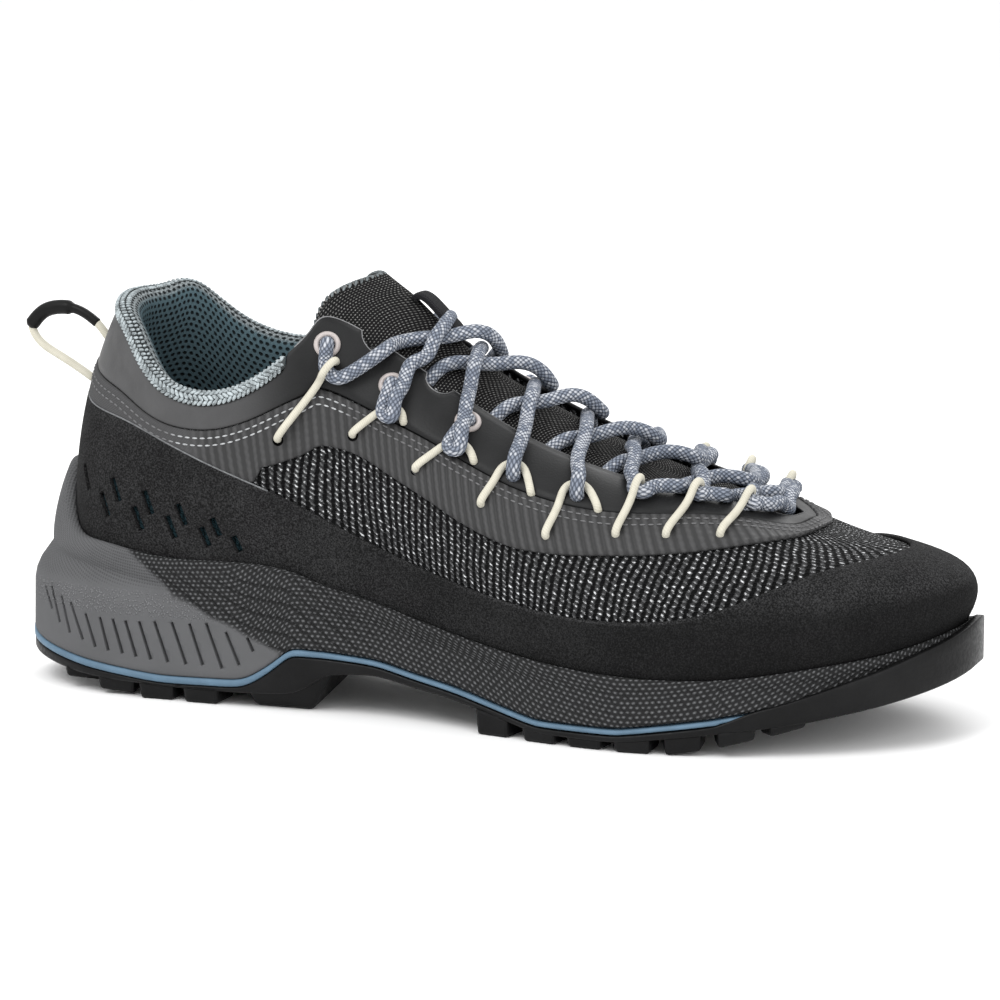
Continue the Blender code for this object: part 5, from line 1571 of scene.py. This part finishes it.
def braidShade():
    # fine braid with pale flecks that run along it
    s = Shade("laceBraid", Roughness=0.75, Specular_IOR_Level=0.2)
    u, v, _ = s.split(s.cloth())
    right, left = u / 1.5 + v * 9, u / 1.5 - v * 9
    a, b = s.fract(right) - 0.5, s.fract(left) - 0.5
    strand = s.fade((a * a + b * b) ** 0.5, 0.62, 0.22)
    pick = s.noise(s.join(s.floor(right) * 3.7, s.floor(left) * 5.3), 1.0, 1)
    drift = s.noise(s.join(u * 0.05, v * 2), 1.0, 2)
    pale = s.fade(pick + drift * 0.4, 0.68, 0.76)
    color = s.blend(strand, laceLook["dark"], laceLook["color"])
    color = s.blend(strand * pale, color, laceLook["light"])
    return s.finish(color, None, s.relief(strand, 0.0004, 0.9))


dressed(makeLace(), braidShade(), "lace", "lace")
print("lace made")

# pull loop and its sleeve
pullLook = {"cord": 0.0012, "sleeve": 0.0014, "grip": 0.0021}
pullPoints = ((-16.4, 97.7), (-19.7, 101.5), (-25.2, 104.8), (-31.2, 105.6), (-36.8, 104.0), (-40.4, 100.4),
              (-38.8, 96.2), (-33.2, 92.2), (-26.6, 88.6), (-21.5, 85.5))
pull = cordPiece("pull_cord", smoothPath([(x * 0.001, 0, z * 0.001) for x, z in pullPoints], 0.0005),
                 pullLook["cord"], 14)
dressed(pull, cream, "pull_cord", "pull_loop")


def sleeveShade():
    s = Shade("sleeveTube", Roughness=0.42, Specular_IOR_Level=0.12)
    cloud = s.noise(s.place(), 400, 4)
    color = s.blend(cloud, (0.003, 0.003, 0.003), (0.009, 0.009, 0.009))
    return s.finish(color, s.fade(cloud, 0.3, 0.7, 0.35, 0.55), s.relief(cloud, 0.0002, 0.3))


sleevePath = smoothPath([(x * 0.001, 0, z * 0.001) for x, z in pullPoints[1:6]], 0.0005)
grip = np.clip((np.linspace(0, 1, len(sleevePath)) - 0.36) / 0.06, 0, 1)
sleeve = cordPiece("pull_sleeve", sleevePath, pullLook["sleeve"] + (pullLook["grip"] - pullLook["sleeve"]) * grip, 20)
dressed(sleeve, sleeveShade(), "sleeve", "pull_loop_sleeve")
print("pull loop made")

# floor, light and camera
bpy.ops.mesh.primitive_plane_add(size=12)
floor = bpy.context.active_object
floor.name = "floor"
floorShade = Shade("paleFloor", Roughness=0.9)
floorShade.shader.inputs["Base Color"].default_value = (0.93, 0.93, 0.93, 1)
floor.data.materials.append(floorShade.material)

world = bpy.data.worlds.new("studio")
bpy.context.scene.world = world
world.use_nodes = True
world.node_tree.nodes["Background"].inputs[0].default_value = (1.0, 1.0, 1.0, 1)
world.node_tree.nodes["Background"].inputs[1].default_value = 1.08


def softLight(name, place, size, power):
    data = bpy.data.lights.new(name, "AREA")
    data.size = size
    data.energy = power
    lamp = bpy.data.objects.new(name, data)
    lamp.location = place
    aim = Vector((0.1, 0, 0.05)) - Vector(place)
    lamp.rotation_euler = aim.to_track_quat("-Z", "Y").to_euler()
    bpy.context.scene.collection.objects.link(lamp)


softLight("keyLight", (-0.3, -1.0, 1.3), 0.9, 15)
softLight("fillLight", (1.3, -0.9, 0.8), 1.0, 7)
softLight("backLight", (0.2, 1.3, 1.2), 1.0, 11)

cameraLook = {"azimuth": 20.0, "elevation": 10.0, "distance": 1.1, "lens": 141.5, "target": (0.104, 0.0, 0.057)}
lens = bpy.data.cameras.new("camera")
lens.lens = cameraLook["lens"]
lens.sensor_width = 36
lens.clip_start = 0.01
camera = bpy.data.objects.new("camera", lens)
turnA, turnE = math.radians(cameraLook["azimuth"]), math.radians(cameraLook["elevation"])
back = Vector((math.sin(turnA) * math.cos(turnE), -math.cos(turnA) * math.cos(turnE), math.sin(turnE)))
camera.location = Vector(cameraLook["target"]) + back * cameraLook["distance"]
camera.rotation_euler = (-back).to_track_quat("-Z", "Y").to_euler()
bpy.context.scene.collection.objects.link(camera)
bpy.context.scene.camera = camera
bpy.context.scene.view_settings.view_transform = "Standard"
